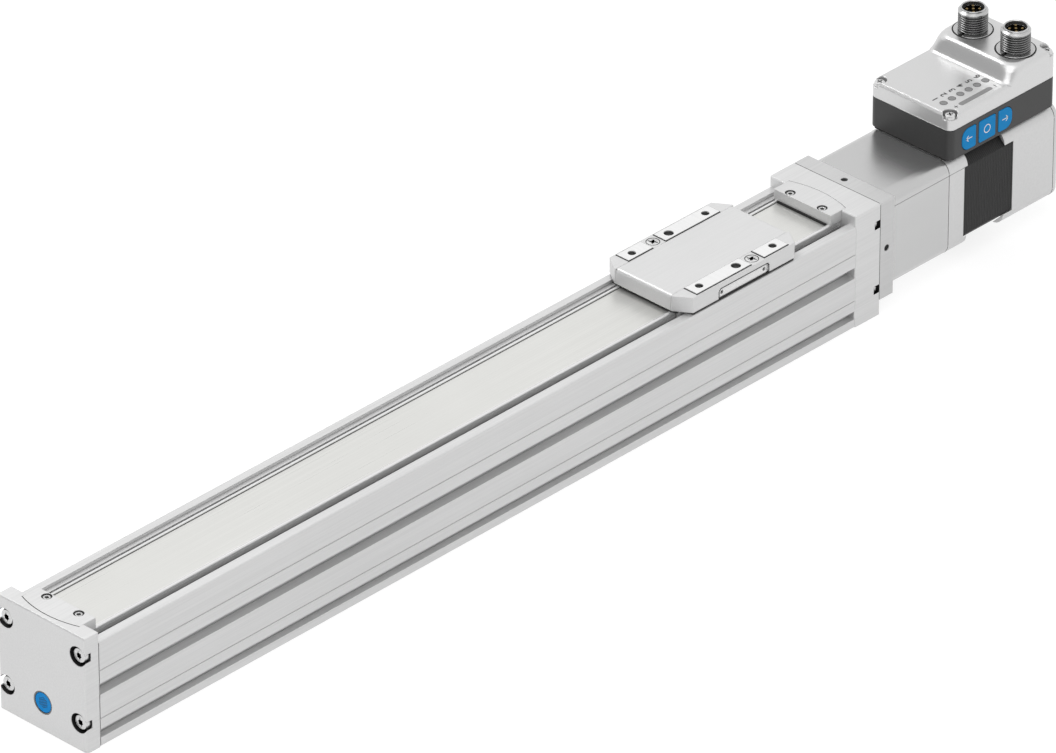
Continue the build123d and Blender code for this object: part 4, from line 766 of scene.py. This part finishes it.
def controller_screws():
    """Pan head screws in the four corner pockets of the controller."""
    low, high = mm_box("controller_screws")
    cover_low, cover_high = mm_box("controller_cover")
    radius = CONTROLLER_SCREW["radius"]
    head = driven_screw(CONTROLLER_SCREW, lambda shape: cross_recess(shape, *CONTROLLER_CROSS))
    front_seat = cover_low.z + FRONT_DECK_HEIGHT - FRONT_POCKET_DEPTH
    rear_seat = cover_high.z - REAR_POCKET_DEPTH
    front_turn, rear_turn = CONTROLLER_SCREW_TURNS
    rows = ((low.x + radius, front_seat, front_turn), (high.x - radius, rear_seat, rear_turn))
    places = []
    for x, seat, turn in rows:
        for y in (low.y + radius, high.y - radius):
            places.append(Matrix.Translation((x, y, seat)) @ Matrix.Rotation(turn + y, 4, "Z"))
    piece("controller_screws_driven", repeated(head, places), "frame", "screw_steel",
          FINISHES["screw_steel"], "controller_screws")


def cover_screws():
    """Flush cross-head screws that hold the carriage's side covers."""
    low, high = mm_box("cover_screws")
    radius = COVER_SCREW["radius"]
    head = driven_screw(COVER_SCREW, lambda shape: cross_recess(shape, *COVER_CROSS))
    seat = high.z - COVER_SCREW["height"]
    places = [
        Matrix.Translation((x, y, seat)) @ Matrix.Rotation(COVER_SCREW_TURN, 4, "Z")
        for x, y in ((high.x - radius, low.y + radius), (low.x + radius, high.y - radius))
    ]
    piece("cover_screws_driven", repeated(head, places), "carriage", "screw_steel",
          FINISHES["carriage_finish"], "cover_screws")


def connector_places():
    """Middles of the two connectors."""
    low, high = mm_box("connector_shells")
    x_middle = (low.x + high.x) / 2
    return [
        Matrix.Translation((x_middle, y, 0))
        for y in (low.y + FLANGE_RADIUS, high.y - FLANGE_RADIUS)
    ]


def threaded_shells():
    """The connectors' threaded shells."""
    low, high = mm_box("connector_shells")
    deck = mm_box("controller_cover")[1].z
    outline = [(SHELL_BORE, low.z), (THREAD_ROOT, low.z)]
    for number in range(THREAD_RIDGES):
        foot = deck + FLANGE_RISE + THREAD_START + number * THREAD_PITCH
        outline += [
            (THREAD_ROOT, foot),
            (THREAD_CREST, foot + THREAD_RISE * THREAD_PITCH),
            (THREAD_CREST, foot + THREAD_FALL * THREAD_PITCH),
            (THREAD_ROOT, foot + THREAD_END * THREAD_PITCH),
        ]
    collar_foot = high.z - COLLAR_HEIGHT
    outline += [(THREAD_ROOT, collar_foot), (SHELL_BORE, collar_foot)]
    shape = repeated(turned(outline, steps=64), connector_places())
    piece("threaded_shells", shape, "frame", "nickel", FINISHES["nickel"], "connector_shells")


def shell_collars():
    """Smooth collars with a bevelled mouth above the threads."""
    top = mm_box("connector_shells")[1].z
    collar_foot = top - COLLAR_HEIGHT
    bevel_foot, bevel_top = (top - drop for drop in COLLAR_BEVEL)
    collar = turned(
        [(SHELL_BORE, collar_foot), (THREAD_CREST, collar_foot), (THREAD_CREST, bevel_foot),
         (SHELL_LIP, bevel_top), (SHELL_LIP, top - LIP_BEVEL), (SHELL_LIP - LIP_BEVEL, top),
         (SHELL_BORE + BORE_BEVEL, top), (SHELL_BORE, top - BORE_BEVEL)],
        steps=64)
    piece("shell_collars", repeated(collar, connector_places()), "frame", "nickel", LIT_NICKEL)


def shell_flanges():
    """The connectors' flanges, each with a coding notch."""
    floor = mm_box("connector_shells")[0].z
    top = mm_box("controller_cover")[1].z + FLANGE_RISE
    bore = THREAD_ROOT - FLANGE_OVERLAP
    flange = turned(
        [(bore, floor), (FLANGE_RADIUS, floor), (FLANGE_RADIUS, top - LIP_BEVEL),
         (FLANGE_RADIUS - LIP_BEVEL, top), (bore, top)],
        steps=60, angle=FULL_TURN - NOTCH_ANGLE)
    turn = Matrix.Rotation(math.pi + NOTCH_ANGLE / 2, 4, "Z")
    places = [place @ turn for place in connector_places()]
    piece("shell_flanges", repeated(flange, places), "frame", "nickel", LIT_NICKEL)


def stator_block(low, high):
    """The stator's block with its four corners cut and its two ends open."""
    middle = (low + high) / 2
    size = high - low
    shape = bmesh.new()
    grow = Matrix.Diagonal((size.x, size.y, size.z, 1))
    bmesh.ops.create_cube(shape, size=1, matrix=Matrix.Translation(middle) @ grow)
    long_edges = [
        edge for edge in shape.edges if abs(edge.verts[0].co.x - edge.verts[1].co.x) > TOUCH
    ]
    bmesh.ops.bevel(shape, geom=long_edges, offset=STATOR_CORNER_CUT, offset_type="OFFSET",
                    affect="EDGES", segments=1, profile=0.5, material=-1)
    ends = [face for face in shape.faces if abs(face.normal.x) > 0.9]
    bmesh.ops.delete(shape, geom=ends, context="FACES_ONLY")
    return shape


def cut_grooves(shape, low, high):
    """Sinks a fine groove into the block at the start of every plate."""
    size = high - low
    count = round(size.x / LAMINATION_PITCH)
    pitch = size.x / count
    for number in range(count):
        for share in (0, GROOVE_SHARE):
            at = low.x + number * pitch + pitch * share
            if at > low.x + TOUCH:
                geometry = shape.verts[:] + shape.edges[:] + shape.faces[:]
                bmesh.ops.bisect_plane(shape, geom=geometry, dist=MERGE_GAP, plane_co=(at, 0, 0),
                                       plane_no=(1, 0, 0))
    floors = []
    for face in shape.faces:
        offset = (face.calc_center_median().x - low.x) / pitch
        if abs(face.normal.x) < 0.1 and offset - math.floor(offset) < GROOVE_SHARE:
            floors.append(face)
    sunk = bmesh.ops.extrude_face_region(shape, geom=floors)["geom"]
    moved = [item for item in sunk if isinstance(item, bmesh.types.BMVert)]
    bmesh.ops.delete(shape, geom=floors, context="FACES_ONLY")
    across = 1 - 2 * LAMINATION_GROOVE / size.y
    to_middle = Matrix.Translation(-(low + high) / 2)
    bmesh.ops.scale(shape, vec=(1, across, across), verts=moved, space=to_middle)


def stator():
    """Laminated stator: a bored stack with a fine groove between its plates."""
    low, high = mm_box("stator_stack")
    shape = stator_block(low, high)
    cut_grooves(shape, low, high)
    for x in (low.x, high.x):
        rim = [
            edge for edge in shape.edges
            if edge.is_boundary and all(abs(vert.co.x - x) < TOUCH for vert in edge.verts)
        ]
        place = Matrix.Translation((x, 0, (low.z + high.z) / 2))
        facing = Matrix.Rotation(FULL_TURN / 4, 4, "Y")
        ring = bmesh.ops.create_circle(shape, cap_ends=False, segments=48, radius=STATOR_BORE,
                                       matrix=place @ facing)["verts"]
        hole = [edge for edge in shape.edges if all(vert in ring for vert in edge.verts)]
        bmesh.ops.bridge_loops(shape, edges=rim + hole)
    rims = [edge for edge in shape.edges if edge.is_boundary]
    bmesh.ops.bridge_loops(shape, edges=rims)
    piece("laminated_stator", shape, "frame", "stator_laminations",
          FINISHES["stator_laminations"], "stator_stack")


def vent():
    """Blue vent disc in a steel rim, with black dots as painted shade in its fine perforations."""
    low, high = mm_box("vent_plug")
    middle = Vector((low.x, 0, (low.z + high.z) / 2))
    face = Matrix.Translation(middle) @ Matrix.Rotation(-FULL_TURN / 4, 4, "Y")
    rim = turned(VENT_RIM_OUTLINE, steps=64)
    move(rim, face)
    piece("vent_rim", rim, "frame", "screw_steel", FINISHES["nickel"])
    disc = turned(VENT_DISC_OUTLINE, steps=64, closed=False)
    move(disc, face)
    piece("vent_disc", disc, "frame", "blue_plastic", VENT_BLUE, "vent_plug")
    # Painted shade: black dots in place of the perforations.
    dot = plug(VENT_HOLE_RADIUS, *VENT_HOLE_HEIGHTS, steps=10)
    places = []
    for row in range(-VENT_ROWS, VENT_ROWS + 1):
        for column in range(-VENT_ROWS, VENT_ROWS + 1):
            x = VENT_COLUMN_PITCH * (column + row / 2)
            y = VENT_ROW_PITCH * row
            if math.hypot(x, y) < VENT_FIELD_RADIUS:
                places.append(face @ Matrix.Translation((x, y, VENT_FACE)))
    dark_piece("vent_hole_shade", repeated(dot, places))


def key_face(name):
    """Transform from the XY plane to the middle of a key's face."""
    low, high = mm_box(name)
    middle = Vector(((low.x + high.x) / 2, low.y, (low.z + high.z) / 2))
    return Matrix.Translation(middle) @ Matrix.Rotation(FULL_TURN / 4, 4, "X")


def key_signs():
    """White arrows on the outer keys and a plain ring on the middle one."""
    for name, way in (("left_key", -1), ("right_key", 1)):
        tip, tail, barb = way * ARROW_TIP, -way * ARROW_TIP, way * ARROW_BARB_START
        arrow = bars(
            bmesh.new(), ((tail, 0), (way * ARROW_SHAFT_END, 0)), ((tip, 0), (barb, ARROW_BARB)),
            ((tip, 0), (barb, -ARROW_BARB)), width=ARROW_WIDTH)
        move(arrow, key_face(name))
        piece(name + "_arrow", arrow, name, "window_plastic", PRINT_WHITE)
    ring = flat_ring(*KEY_RING_RADII, -LINE_RISE, LINE_RISE)
    move(ring, key_face("middle_key"))
    piece("middle_key_ring", ring, "middle_key", "window_plastic", PRINT_WHITE)


def window_signs():
    """Numbers beside the six windows, and a dark outline round each."""
    low, high = mm_box("indicator_windows")
    pitch = (high.x - low.x - 2 * WINDOW_RADIUS) / (WINDOW_COUNT - 1)
    y_row = (low.y + high.y) / 2
    reading = Matrix.Rotation(FULL_TURN / 4, 4, "Z")
    numbers = bmesh.new()
    rings = []
    for number in range(WINDOW_COUNT):
        x = low.x + WINDOW_RADIUS + number * pitch
        digit = text_shape(str(number + 1), DIGIT_HEIGHT)
        move(digit, Matrix.Translation((x, y_row + DIGIT_OFFSET, high.z)) @ reading)
        absorb(numbers, digit)
        rings.append(Matrix.Translation((x, y_row, high.z)))
    piece("window_numbers", numbers, "frame", "dark_plastic", PRINT_DARK)
    outline = flat_ring(*WINDOW_RING_RADII, -RING_RISE, RING_RISE, steps=32)
    piece("window_outlines", repeated(outline, rings), "frame", "dark_plastic", PRINT_DARK)


def level_signs():
    """Plus and minus at the two ends of the level bar."""
    low, high = mm_box("level_window")
    deck = mm_box("indicator_windows")[1].z
    y = (low.y + high.y) / 2
    x_plus, x_minus = low.x - LEVEL_SIGN_GAP, high.x + LEVEL_SIGN_GAP
    reach = LEVEL_SIGN_REACH
    signs = bars(
        bmesh.new(), ((x_plus - reach, y), (x_plus + reach, y)),
        ((x_plus, y - reach), (x_plus, y + reach)), ((x_minus, y - reach), (x_minus, y + reach)),
        width=LEVEL_SIGN_WIDTH)
    lift(signs, deck)
    piece("level_signs", signs, "frame", "dark_plastic", PRINT_DARK)


def edge_rails():
    """Rounded steel rails beside the strip, each with a thin skirt down to the runner."""
    low, high = mm_box("strip_edge_rails")
    top, outer = high.z, high.y
    inner = outer - RAIL_WIDTH
    lip = inner - RAIL_LIP
    skirt = low.z - RAIL_SKIRT_DROP
    for side, name in ((-1, "near_edge_rail"), (1, "far_edge_rail")):
        section = [
            (lip, low.z), (outer - RAIL_SKIRT, low.z), (outer - RAIL_SKIRT, skirt),
            (outer, skirt), (outer, top), (inner, top), (inner, top - RAIL_STEP),
            (lip, top - RAIL_STEP),
        ]
        rounds = [((side * outer, top), RAIL_ROUND, 6), ((side * inner, top), RAIL_SMALL_ROUND, 3)]
        shape = prism_along_x([(side * y, z) for y, z in section], low.x, high.x, rounds)
        piece(name, shape, "frame", "bright_steel", FINISHES["bright_steel"], "strip_edge_rails")


def strip_gap_shade():
    """Painted shade: dark strips in the gaps between the strip and its two rails."""
    low, high = mm_box("strip_edge_rails")
    joint = bmesh.new()
    for side in (-1, 1):
        y = side * (high.y - RAIL_WIDTH - STRIP_SHADE_INSET)
        bars(joint, ((low.x, y), (high.x, y)), width=STRIP_SHADE_WIDTH,
             thickness=STRIP_SHADE_HEIGHT)
    lift(joint, mm_box("cover_strip")[1].z + RING_RISE)
    dark_piece("strip_gap_shade", joint)


def pad_side_shade():
    """Painted shade: dark frames round the table's four pads, in place of the shade on their sides.
    """
    low, high = mm_box("side_covers")
    x_middle = (low.x + high.x) / 2
    shape = bmesh.new()
    for side in (-1, 1):
        for start, end in (LONG_PAD_ENDS, SHORT_PAD_ENDS):
            ends = sorted((x_middle - side * start, x_middle - side * end))
            y_ends = sorted(side * y for y in PAD_SIDES)
            outline_bars(shape, *ends, *y_ends, PAD_SHADE_WIDTH)
    lift(shape, high.z + PAD_SHADE_RISE)
    dark_piece("pad_side_shade", shape, "carriage")


def insert_joints():
    """Dark joints round the two insert plates, with cut upper corners."""
    low, high = mm_box("insert_plates")
    left, right = low.x - INSERT_JOINT_GAP, high.x + INSERT_JOINT_GAP
    top, shoulder = high.z + INSERT_JOINT_GAP, high.z - INSERT_CORNER
    corners = [
        (left, low.z), (left, shoulder), (low.x + INSERT_CORNER, top),
        (high.x - INSERT_CORNER, top), (right, shoulder), (right, low.z),
    ]
    edging = bars(bmesh.new(), *zip(corners, corners[1:]), width=INSERT_JOINT_WIDTH,
                  thickness=INSERT_JOINT_HEIGHT)
    flat = Matrix.Rotation(FULL_TURN / 4, 4, "X")
    y_face = mm_box("side_covers")[1].y - LINE_RISE
    places = [Matrix.Translation((0, side * y_face, 0)) @ flat for side in (-1, 1)]
    dark_piece("insert_joints", repeated(edging, places), "carriage")


def carriage_gap_shade():
    """Painted shade: black strips in the gap under the carriage's long sides, just clear of the
    profile.
    """
    low, high = mm_box("side_covers")
    ledge = mm_box("profile")[1].z
    shape = bmesh.new()
    for side in (-1, 1):
        y = side * (high.y - GAP_SHADE_INSET)
        ends = ((low.x + GAP_SHADE_END_GAP, y), (high.x - GAP_SHADE_END_GAP, y))
        bars(shape, ends, width=GAP_SHADE_WIDTH, thickness=GAP_SHADE_HEIGHT)
    lift(shape, (ledge + low.z) / 2 + GAP_SHADE_LIFT)
    dark_piece("carriage_gap_shade", shape, "carriage")


def table_places(*x_offsets):
    """Places on the table's top, in its two rows of holes."""
    low, high = mm_box("slide_table")
    x_middle = (low.x + high.x) / 2
    return [
        Matrix.Translation((x_middle + x_offset, side * TABLE_HOLE_ROW, high.z))
        for x_offset in x_offsets for side in (-1, 1)
    ]


def table_holes():
    """Threaded liners in the four table holes, and dark floors in the centring holes."""
    outline = [(LINER_RADIUS, -LINER_START)]
    for ridge in range(LINER_RIDGES):
        z = -LINER_FIRST_RIDGE - ridge * LINER_PITCH
        outline += [(radius, z - drop) for radius, drop in LINER_RIDGE_OUTLINE]
    outline += [(0, -LINER_FLOOR), (0, -LINER_END), (LINER_RADIUS, -LINER_END)]
    thread = turned(outline, steps=32)
    places = table_places(-TABLE_HOLE_OFFSET, TABLE_HOLE_OFFSET)
    piece("table_threads", repeated(thread, places), "carriage", "screw_steel", DARK_STEEL)
    floor = turned(CENTRING_FLOOR_OUTLINE, steps=32, closed=False)
    places = table_places(0)
    piece("centring_floors", repeated(floor, places), "carriage", "screw_steel", DARK_STEEL)


def cover_screw_rings():
    """Dark joints round the carriage's two cover screws."""
    low, high = mm_box("slide_table")
    x_middle = (low.x + high.x) / 2
    z = mm_box("side_covers")[1].z
    places = [
        Matrix.Translation((x_middle - side * COVER_SCREW_OFFSET, side * COVER_SCREW_ROW, z))
        for side in (-1, 1)
    ]
    ring = flat_ring(*COVER_RING_RADII, -RING_RISE, RING_RISE)
    dark_piece("cover_screw_rings", repeated(ring, places), "carriage")


def clamp_set_screws():
    """Set screws of the clamp plates: a dark rim, a bright face and a hexagonal socket with painted
    shade in it.
    """
    low, high = mm_box("clamp_screws")
    top = high.z
    shape = recessed(
        [(0, low.z), (CLAMP_SCREW_RADIUS, low.z), (CLAMP_SCREW_RADIUS, top - CLAMP_SCREW_BEVEL),
         (CLAMP_SCREW_RADIUS - CLAMP_SCREW_BEVEL, top)],
        36, hexagon_recess, CLAMP_SOCKET_DEPTH, 1)
    x_row = high.x - CLAMP_SCREW_RADIUS
    places = [
        Matrix.Translation((x * x_row, y * CLAMP_SCREW_ROW, 0)) for x in (-1, 1) for y in (-1, 1)
    ]
    piece("clamp_set_screws", repeated(shape, places), "frame", "screw_steel",
          FINISHES["screw_steel"], "clamp_screws")
    rim = flat_ring(*CLAMP_RIM_RADII, top, top + CLAMP_RIM_RISE)
    dark_piece("clamp_screw_rims", repeated(rim, places))
    # Painted shade: a black plug inside each socket.
    socket = plug(CLAMP_SHADE_RADIUS, *(top - drop for drop in CLAMP_SHADE_DROPS), steps=12)
    dark_piece("clamp_socket_shade", repeated(socket, places))


def clamp_joint_lines():
    """Dark joints where the clamp plates' arcs meet the caps."""
    shape = bmesh.new()
    for name, side, width in CLAMP_JOINTS:
        low, high = mm_box(name)
        x_arc = low.x if side < 0 else high.x
        half = high.y
        radius = (half * half + CLAMP_ARC_RISE ** 2) / (2 * CLAMP_ARC_RISE)
        reach = math.asin(half / radius)
        points = []
        for step in range(ARC_STEPS + 1):
            angle = -reach + 2 * reach * step / ARC_STEPS
            points.append((x_arc - side * radius * (1 - math.cos(angle)), radius * math.sin(angle)))
        line = bars(bmesh.new(), *zip(points, points[1:]), width=width)
        lift(line, high.z)
        absorb(shape, line)
    dark_piece("clamp_joint_lines", shape)


def cap_pocket_shade():
    """Painted shade in the cap screws' pockets: black rings on the pocket floors under the heads,
    and black part-rings on the pocket walls.
    """
    floor_shade = flat_ring(*POCKET_FLOOR_SHADE_RADII, *POCKET_FLOOR_SHADE_HEIGHTS)
    wall_shade = flat_ring(*POCKET_WALL_SHADE_RADII, *POCKET_WALL_SHADE_HEIGHTS, angle=POCKET_WALL_SHADE_ANGLE)
    places = []
    wall_places = []
    for node, side in (("front_cap_screws", -1), ("drive_cap_screws", 1)):
        for y_side, place in cap_screw_places(node, side):
            opening = Matrix.Rotation(y_side * FULL_TURN / 4 + POCKET_OPENING, 4, "Z")
            places.append(place)
            wall_places.append(place @ opening)
    dark_piece("cap_pocket_shade", repeated(floor_shade, places))
    dark_piece("cap_pocket_wall_shade", repeated(wall_shade, wall_places))


def section_joints():
    """Dark joints in front of the adapter, the motor and its end plate, as thin plates."""
    adapter = mm_box("adapter_flange")
    motor = mm_box("motor_front_flange")
    end_plate_start = mm_box("motor_end_plate")[0].x
    joints = [
        ("adapter_joint", adapter[0].x, adapter, ADAPTER_CORNER),
        ("motor_joint", motor[0].x, motor, MOTOR_CORNER),
        ("end_plate_joint", end_plate_start, motor, MOTOR_CORNER),
    ]
    for name, x, (low, high), radius in joints:
        y_ends = (low.y - SECTION_JOINT_RISE, high.y + SECTION_JOINT_RISE)
        z_ends = (low.z - SECTION_JOINT_RISE, high.z + SECTION_JOINT_RISE)
        section = rectangle(*y_ends, *z_ends)
        shape = prism_along_x(section, x - SECTION_JOINT_HALF, x + SECTION_JOINT_HALF,
                              [(corner, radius, 8) for corner in section])
        dark_piece(name, shape)


def corner_shade_lines():
    """Painted shade: thin dark lines where the motor's sides meet its rounded upper corners."""
    low, high = mm_box("coupling_housing")
    motor_high = mm_box("motor_front_flange")[1]
    z = motor_high.z - CORNER_SHADE_DROP
    for name, y in (("near_corner_shade", low.y), ("far_corner_shade", high.y)):
        section = rectangle(y - LINE_RISE, y + LINE_RISE,
                            z - CORNER_SHADE_HALF, z + CORNER_SHADE_HALF)
        x_ends = (low.x + CORNER_SHADE_START, motor_high.x - CORNER_SHADE_END)
        dark_piece(name, prism_along_x(section, *x_ends, []))


def strip_wipers():
    """Black foam wipers on the strip in front of each clamp plate."""
    strip_low, strip_high = mm_box("cover_strip")
    y_ends = (strip_low.y + STRIP_WIPER_INSET, strip_high.y - STRIP_WIPER_INSET)
    shape = bmesh.new()
    for name, side in (("front_clamp_plate", -1), ("drive_clamp_plate", 1)):
        low, high = mm_box(name)
        x = (high.x if side < 0 else low.x) - side * STRIP_WIPER_OFFSET
        bars(shape, ((x, y_ends[0]), (x, y_ends[1])), width=STRIP_WIPER_WIDTH,
             thickness=STRIP_WIPER_HEIGHT)
    lift(shape, strip_high.z + STRIP_WIPER_LIFT)
    dark_piece("strip_wipers", shape)


def foot_shade():
    """Painted shade: a black strip under the bevelled front edge of the controller's base."""
    low = mm_box("controller_base")[0]
    x = low.x + FOOT_SHADE_INSET
    shape = bars(bmesh.new(), ((x, -FOOT_SHADE_REACH), (x, FOOT_SHADE_REACH)),
                 width=FOOT_SHADE_WIDTH, thickness=FOOT_SHADE_HEIGHT)
    lift(shape, low.z + FOOT_SHADE_LIFT)
    dark_piece("foot_shade", shape)


def connector_rings():
    """Black sealing rings round the connector flanges."""
    ring = turned(CONNECTOR_RING_OUTLINE, steps=64)
    lift(ring, mm_box("controller_cover")[1].z)
    dark_piece("connector_rings", repeated(ring, connector_places()))


def adapter_socket_shade():
    """Painted shade: dark cups in the sockets of the adapter's two set screws."""
    deck = mm_box("adapter_flange")[1].z
    low, high = mm_box("adapter_set_screws")
    x_middle = (low.x + high.x) / 2
    cup = turned(ADAPTER_SHADE_CUP_OUTLINE, steps=32, closed=False)
    near_face = Matrix.Rotation(FULL_TURN / 4, 4, "X")
    places = [
        Matrix.Translation((x_middle, 0, deck - ADAPTER_SCREW_SINK)),
        Matrix.Translation((x_middle, low.y, low.z + ADAPTER_SCREW_RADIUS)) @ near_face,
    ]
    dark_piece("adapter_socket_shade", repeated(cup, places))


# Studio


def seen_ray(tree):
    """1 for rays from the camera, a glossy surface or through glass."""
    path = placed(tree, "LightPath")
    value = path.outputs["Is Camera Ray"]
    for label in ("Is Glossy Ray", "Is Transmission Ray"):
        either = placed(tree, "Math", (0, value), (1, path.outputs[label]), operation="MAXIMUM")
        value = either.outputs[0]
    return value


def studio_world():
    """Even fill light, and a white backdrop behind it."""
    world = bpy.data.worlds.new("studio")
    bpy.context.scene.world = world
    world.use_nodes = True
    tree = world.node_tree
    tree.nodes.clear()
    fill = placed(tree, "Background", ("Strength", FILL_STRENGTH), ("Color", WHITE))
    way = placed(tree, "TexCoord")
    parts = placed(tree, "SeparateXYZ", (0, way.outputs["Generated"]))
    shade = placed(tree, "MapRange", ("Value", parts.outputs["X"]), ("From Min", -0.5),
                   ("From Max", 0.0), ("To Min", DARK_REFLECTION))
    shade.interpolation_type = "SMOOTHSTEP"
    path = placed(tree, "LightPath")
    strength = placed(tree, "Math", (0, path.outputs["Is Camera Ray"]),
                      (1, shade.outputs["Result"]), operation="MAXIMUM")
    backdrop = placed(tree, "Background", ("Strength", strength.outputs[0]), ("Color", WHITE))
    mix = placed(tree, "MixShader", (0, seen_ray(tree)), (1, fill.outputs[0]),
                 (2, backdrop.outputs[0]))
    placed(tree, "OutputWorld", ("Surface", mix.outputs[0]))


def studio_floor():
    """White floor that keeps a soft shadow."""
    shape = bmesh.new()
    bmesh.ops.create_grid(shape, x_segments=1, y_segments=1, size=FLOOR_SIZE / 2)
    mesh = bpy.data.meshes.new("floor")
    shape.to_mesh(mesh)
    shape.free()
    material = bpy.data.materials.new("white floor")
    material.use_nodes = True
    tree = material.node_tree
    tree.nodes.clear()
    plain = placed(tree, "BsdfDiffuse", ("Color", FLOOR_COLOUR))
    shaded = placed(tree, "BsdfDiffuse", ("Color", (FLOOR_SHADE, FLOOR_SHADE, FLOOR_SHADE, 1)))
    glow = placed(tree, "Emission", ("Strength", FLOOR_GLOW))
    both = placed(tree, "AddShader", (0, shaded.outputs[0]), (1, glow.outputs[0]))
    mix = placed(tree, "MixShader", (0, seen_ray(tree)), (1, plain.outputs[0]),
                 (2, both.outputs[0]))
    placed(tree, "OutputMaterial", ("Surface", mix.outputs[0]))
    mesh.materials.append(material)
    floor = bpy.data.objects.new("floor", mesh)
    add(floor)


def studio_lamp(name, settings):
    """A soft square lamp that points at the object."""
    data = bpy.data.lights.new(name, "AREA")
    data.shape = "SQUARE"
    data.size = settings["size"]
    data.energy = settings["power"]
    lamp = bpy.data.objects.new(name, data)
    lamp.location = settings["place"]
    lamp.rotation_euler = (-settings["place"]).to_track_quat("-Z", "Y").to_euler()
    add(lamp)


def studio_camera():
    """Camera at the photograph's viewing angle, with its long lens."""
    right = Vector((math.cos(VIEW_AZIMUTH), math.sin(VIEW_AZIMUTH), 0))
    back = Vector((
        math.sin(VIEW_AZIMUTH) * math.cos(VIEW_ELEVATION),
        -math.cos(VIEW_AZIMUTH) * math.cos(VIEW_ELEVATION),
        math.sin(VIEW_ELEVATION),
    ))
    turn = Matrix((right, back.cross(right), back)).transposed().to_4x4()
    data = bpy.data.cameras.new("camera")
    data.sensor_fit = "HORIZONTAL"
    data.sensor_width = SENSOR_WIDTH
    data.lens = FOCAL_PIXELS * SENSOR_WIDTH / IMAGE_WIDTH
    data.clip_end = 4 * VIEW_DISTANCE
    camera = bpy.data.objects.new("camera", data)
    camera.matrix_world = Matrix.Translation(VIEW_TARGET + back * VIEW_DISTANCE) @ turn
    add(camera)
    bpy.context.scene.camera = camera


studio_camera()
studio_world()
studio_floor()
studio_lamp("back_lamp", BACK_LAMP)
studio_lamp("front_lamp", FRONT_LAMP)
dress_nodes()
cap_screws("front_cap_screws", -1)
cap_screws("drive_cap_screws", 1)
controller_screws()
cover_screws()
threaded_shells()
shell_collars()
shell_flanges()
stator()
vent()
key_signs()
window_signs()
level_signs()
edge_rails()
strip_gap_shade()
pad_side_shade()
insert_joints()
carriage_gap_shade()
table_holes()
cover_screw_rings()
clamp_set_screws()
clamp_joint_lines()
cap_pocket_shade()
section_joints()
corner_shade_lines()
strip_wipers()
foot_shade()
connector_rings()
adapter_socket_shade()
bpy.context.scene.view_settings.view_transform = "Standard"
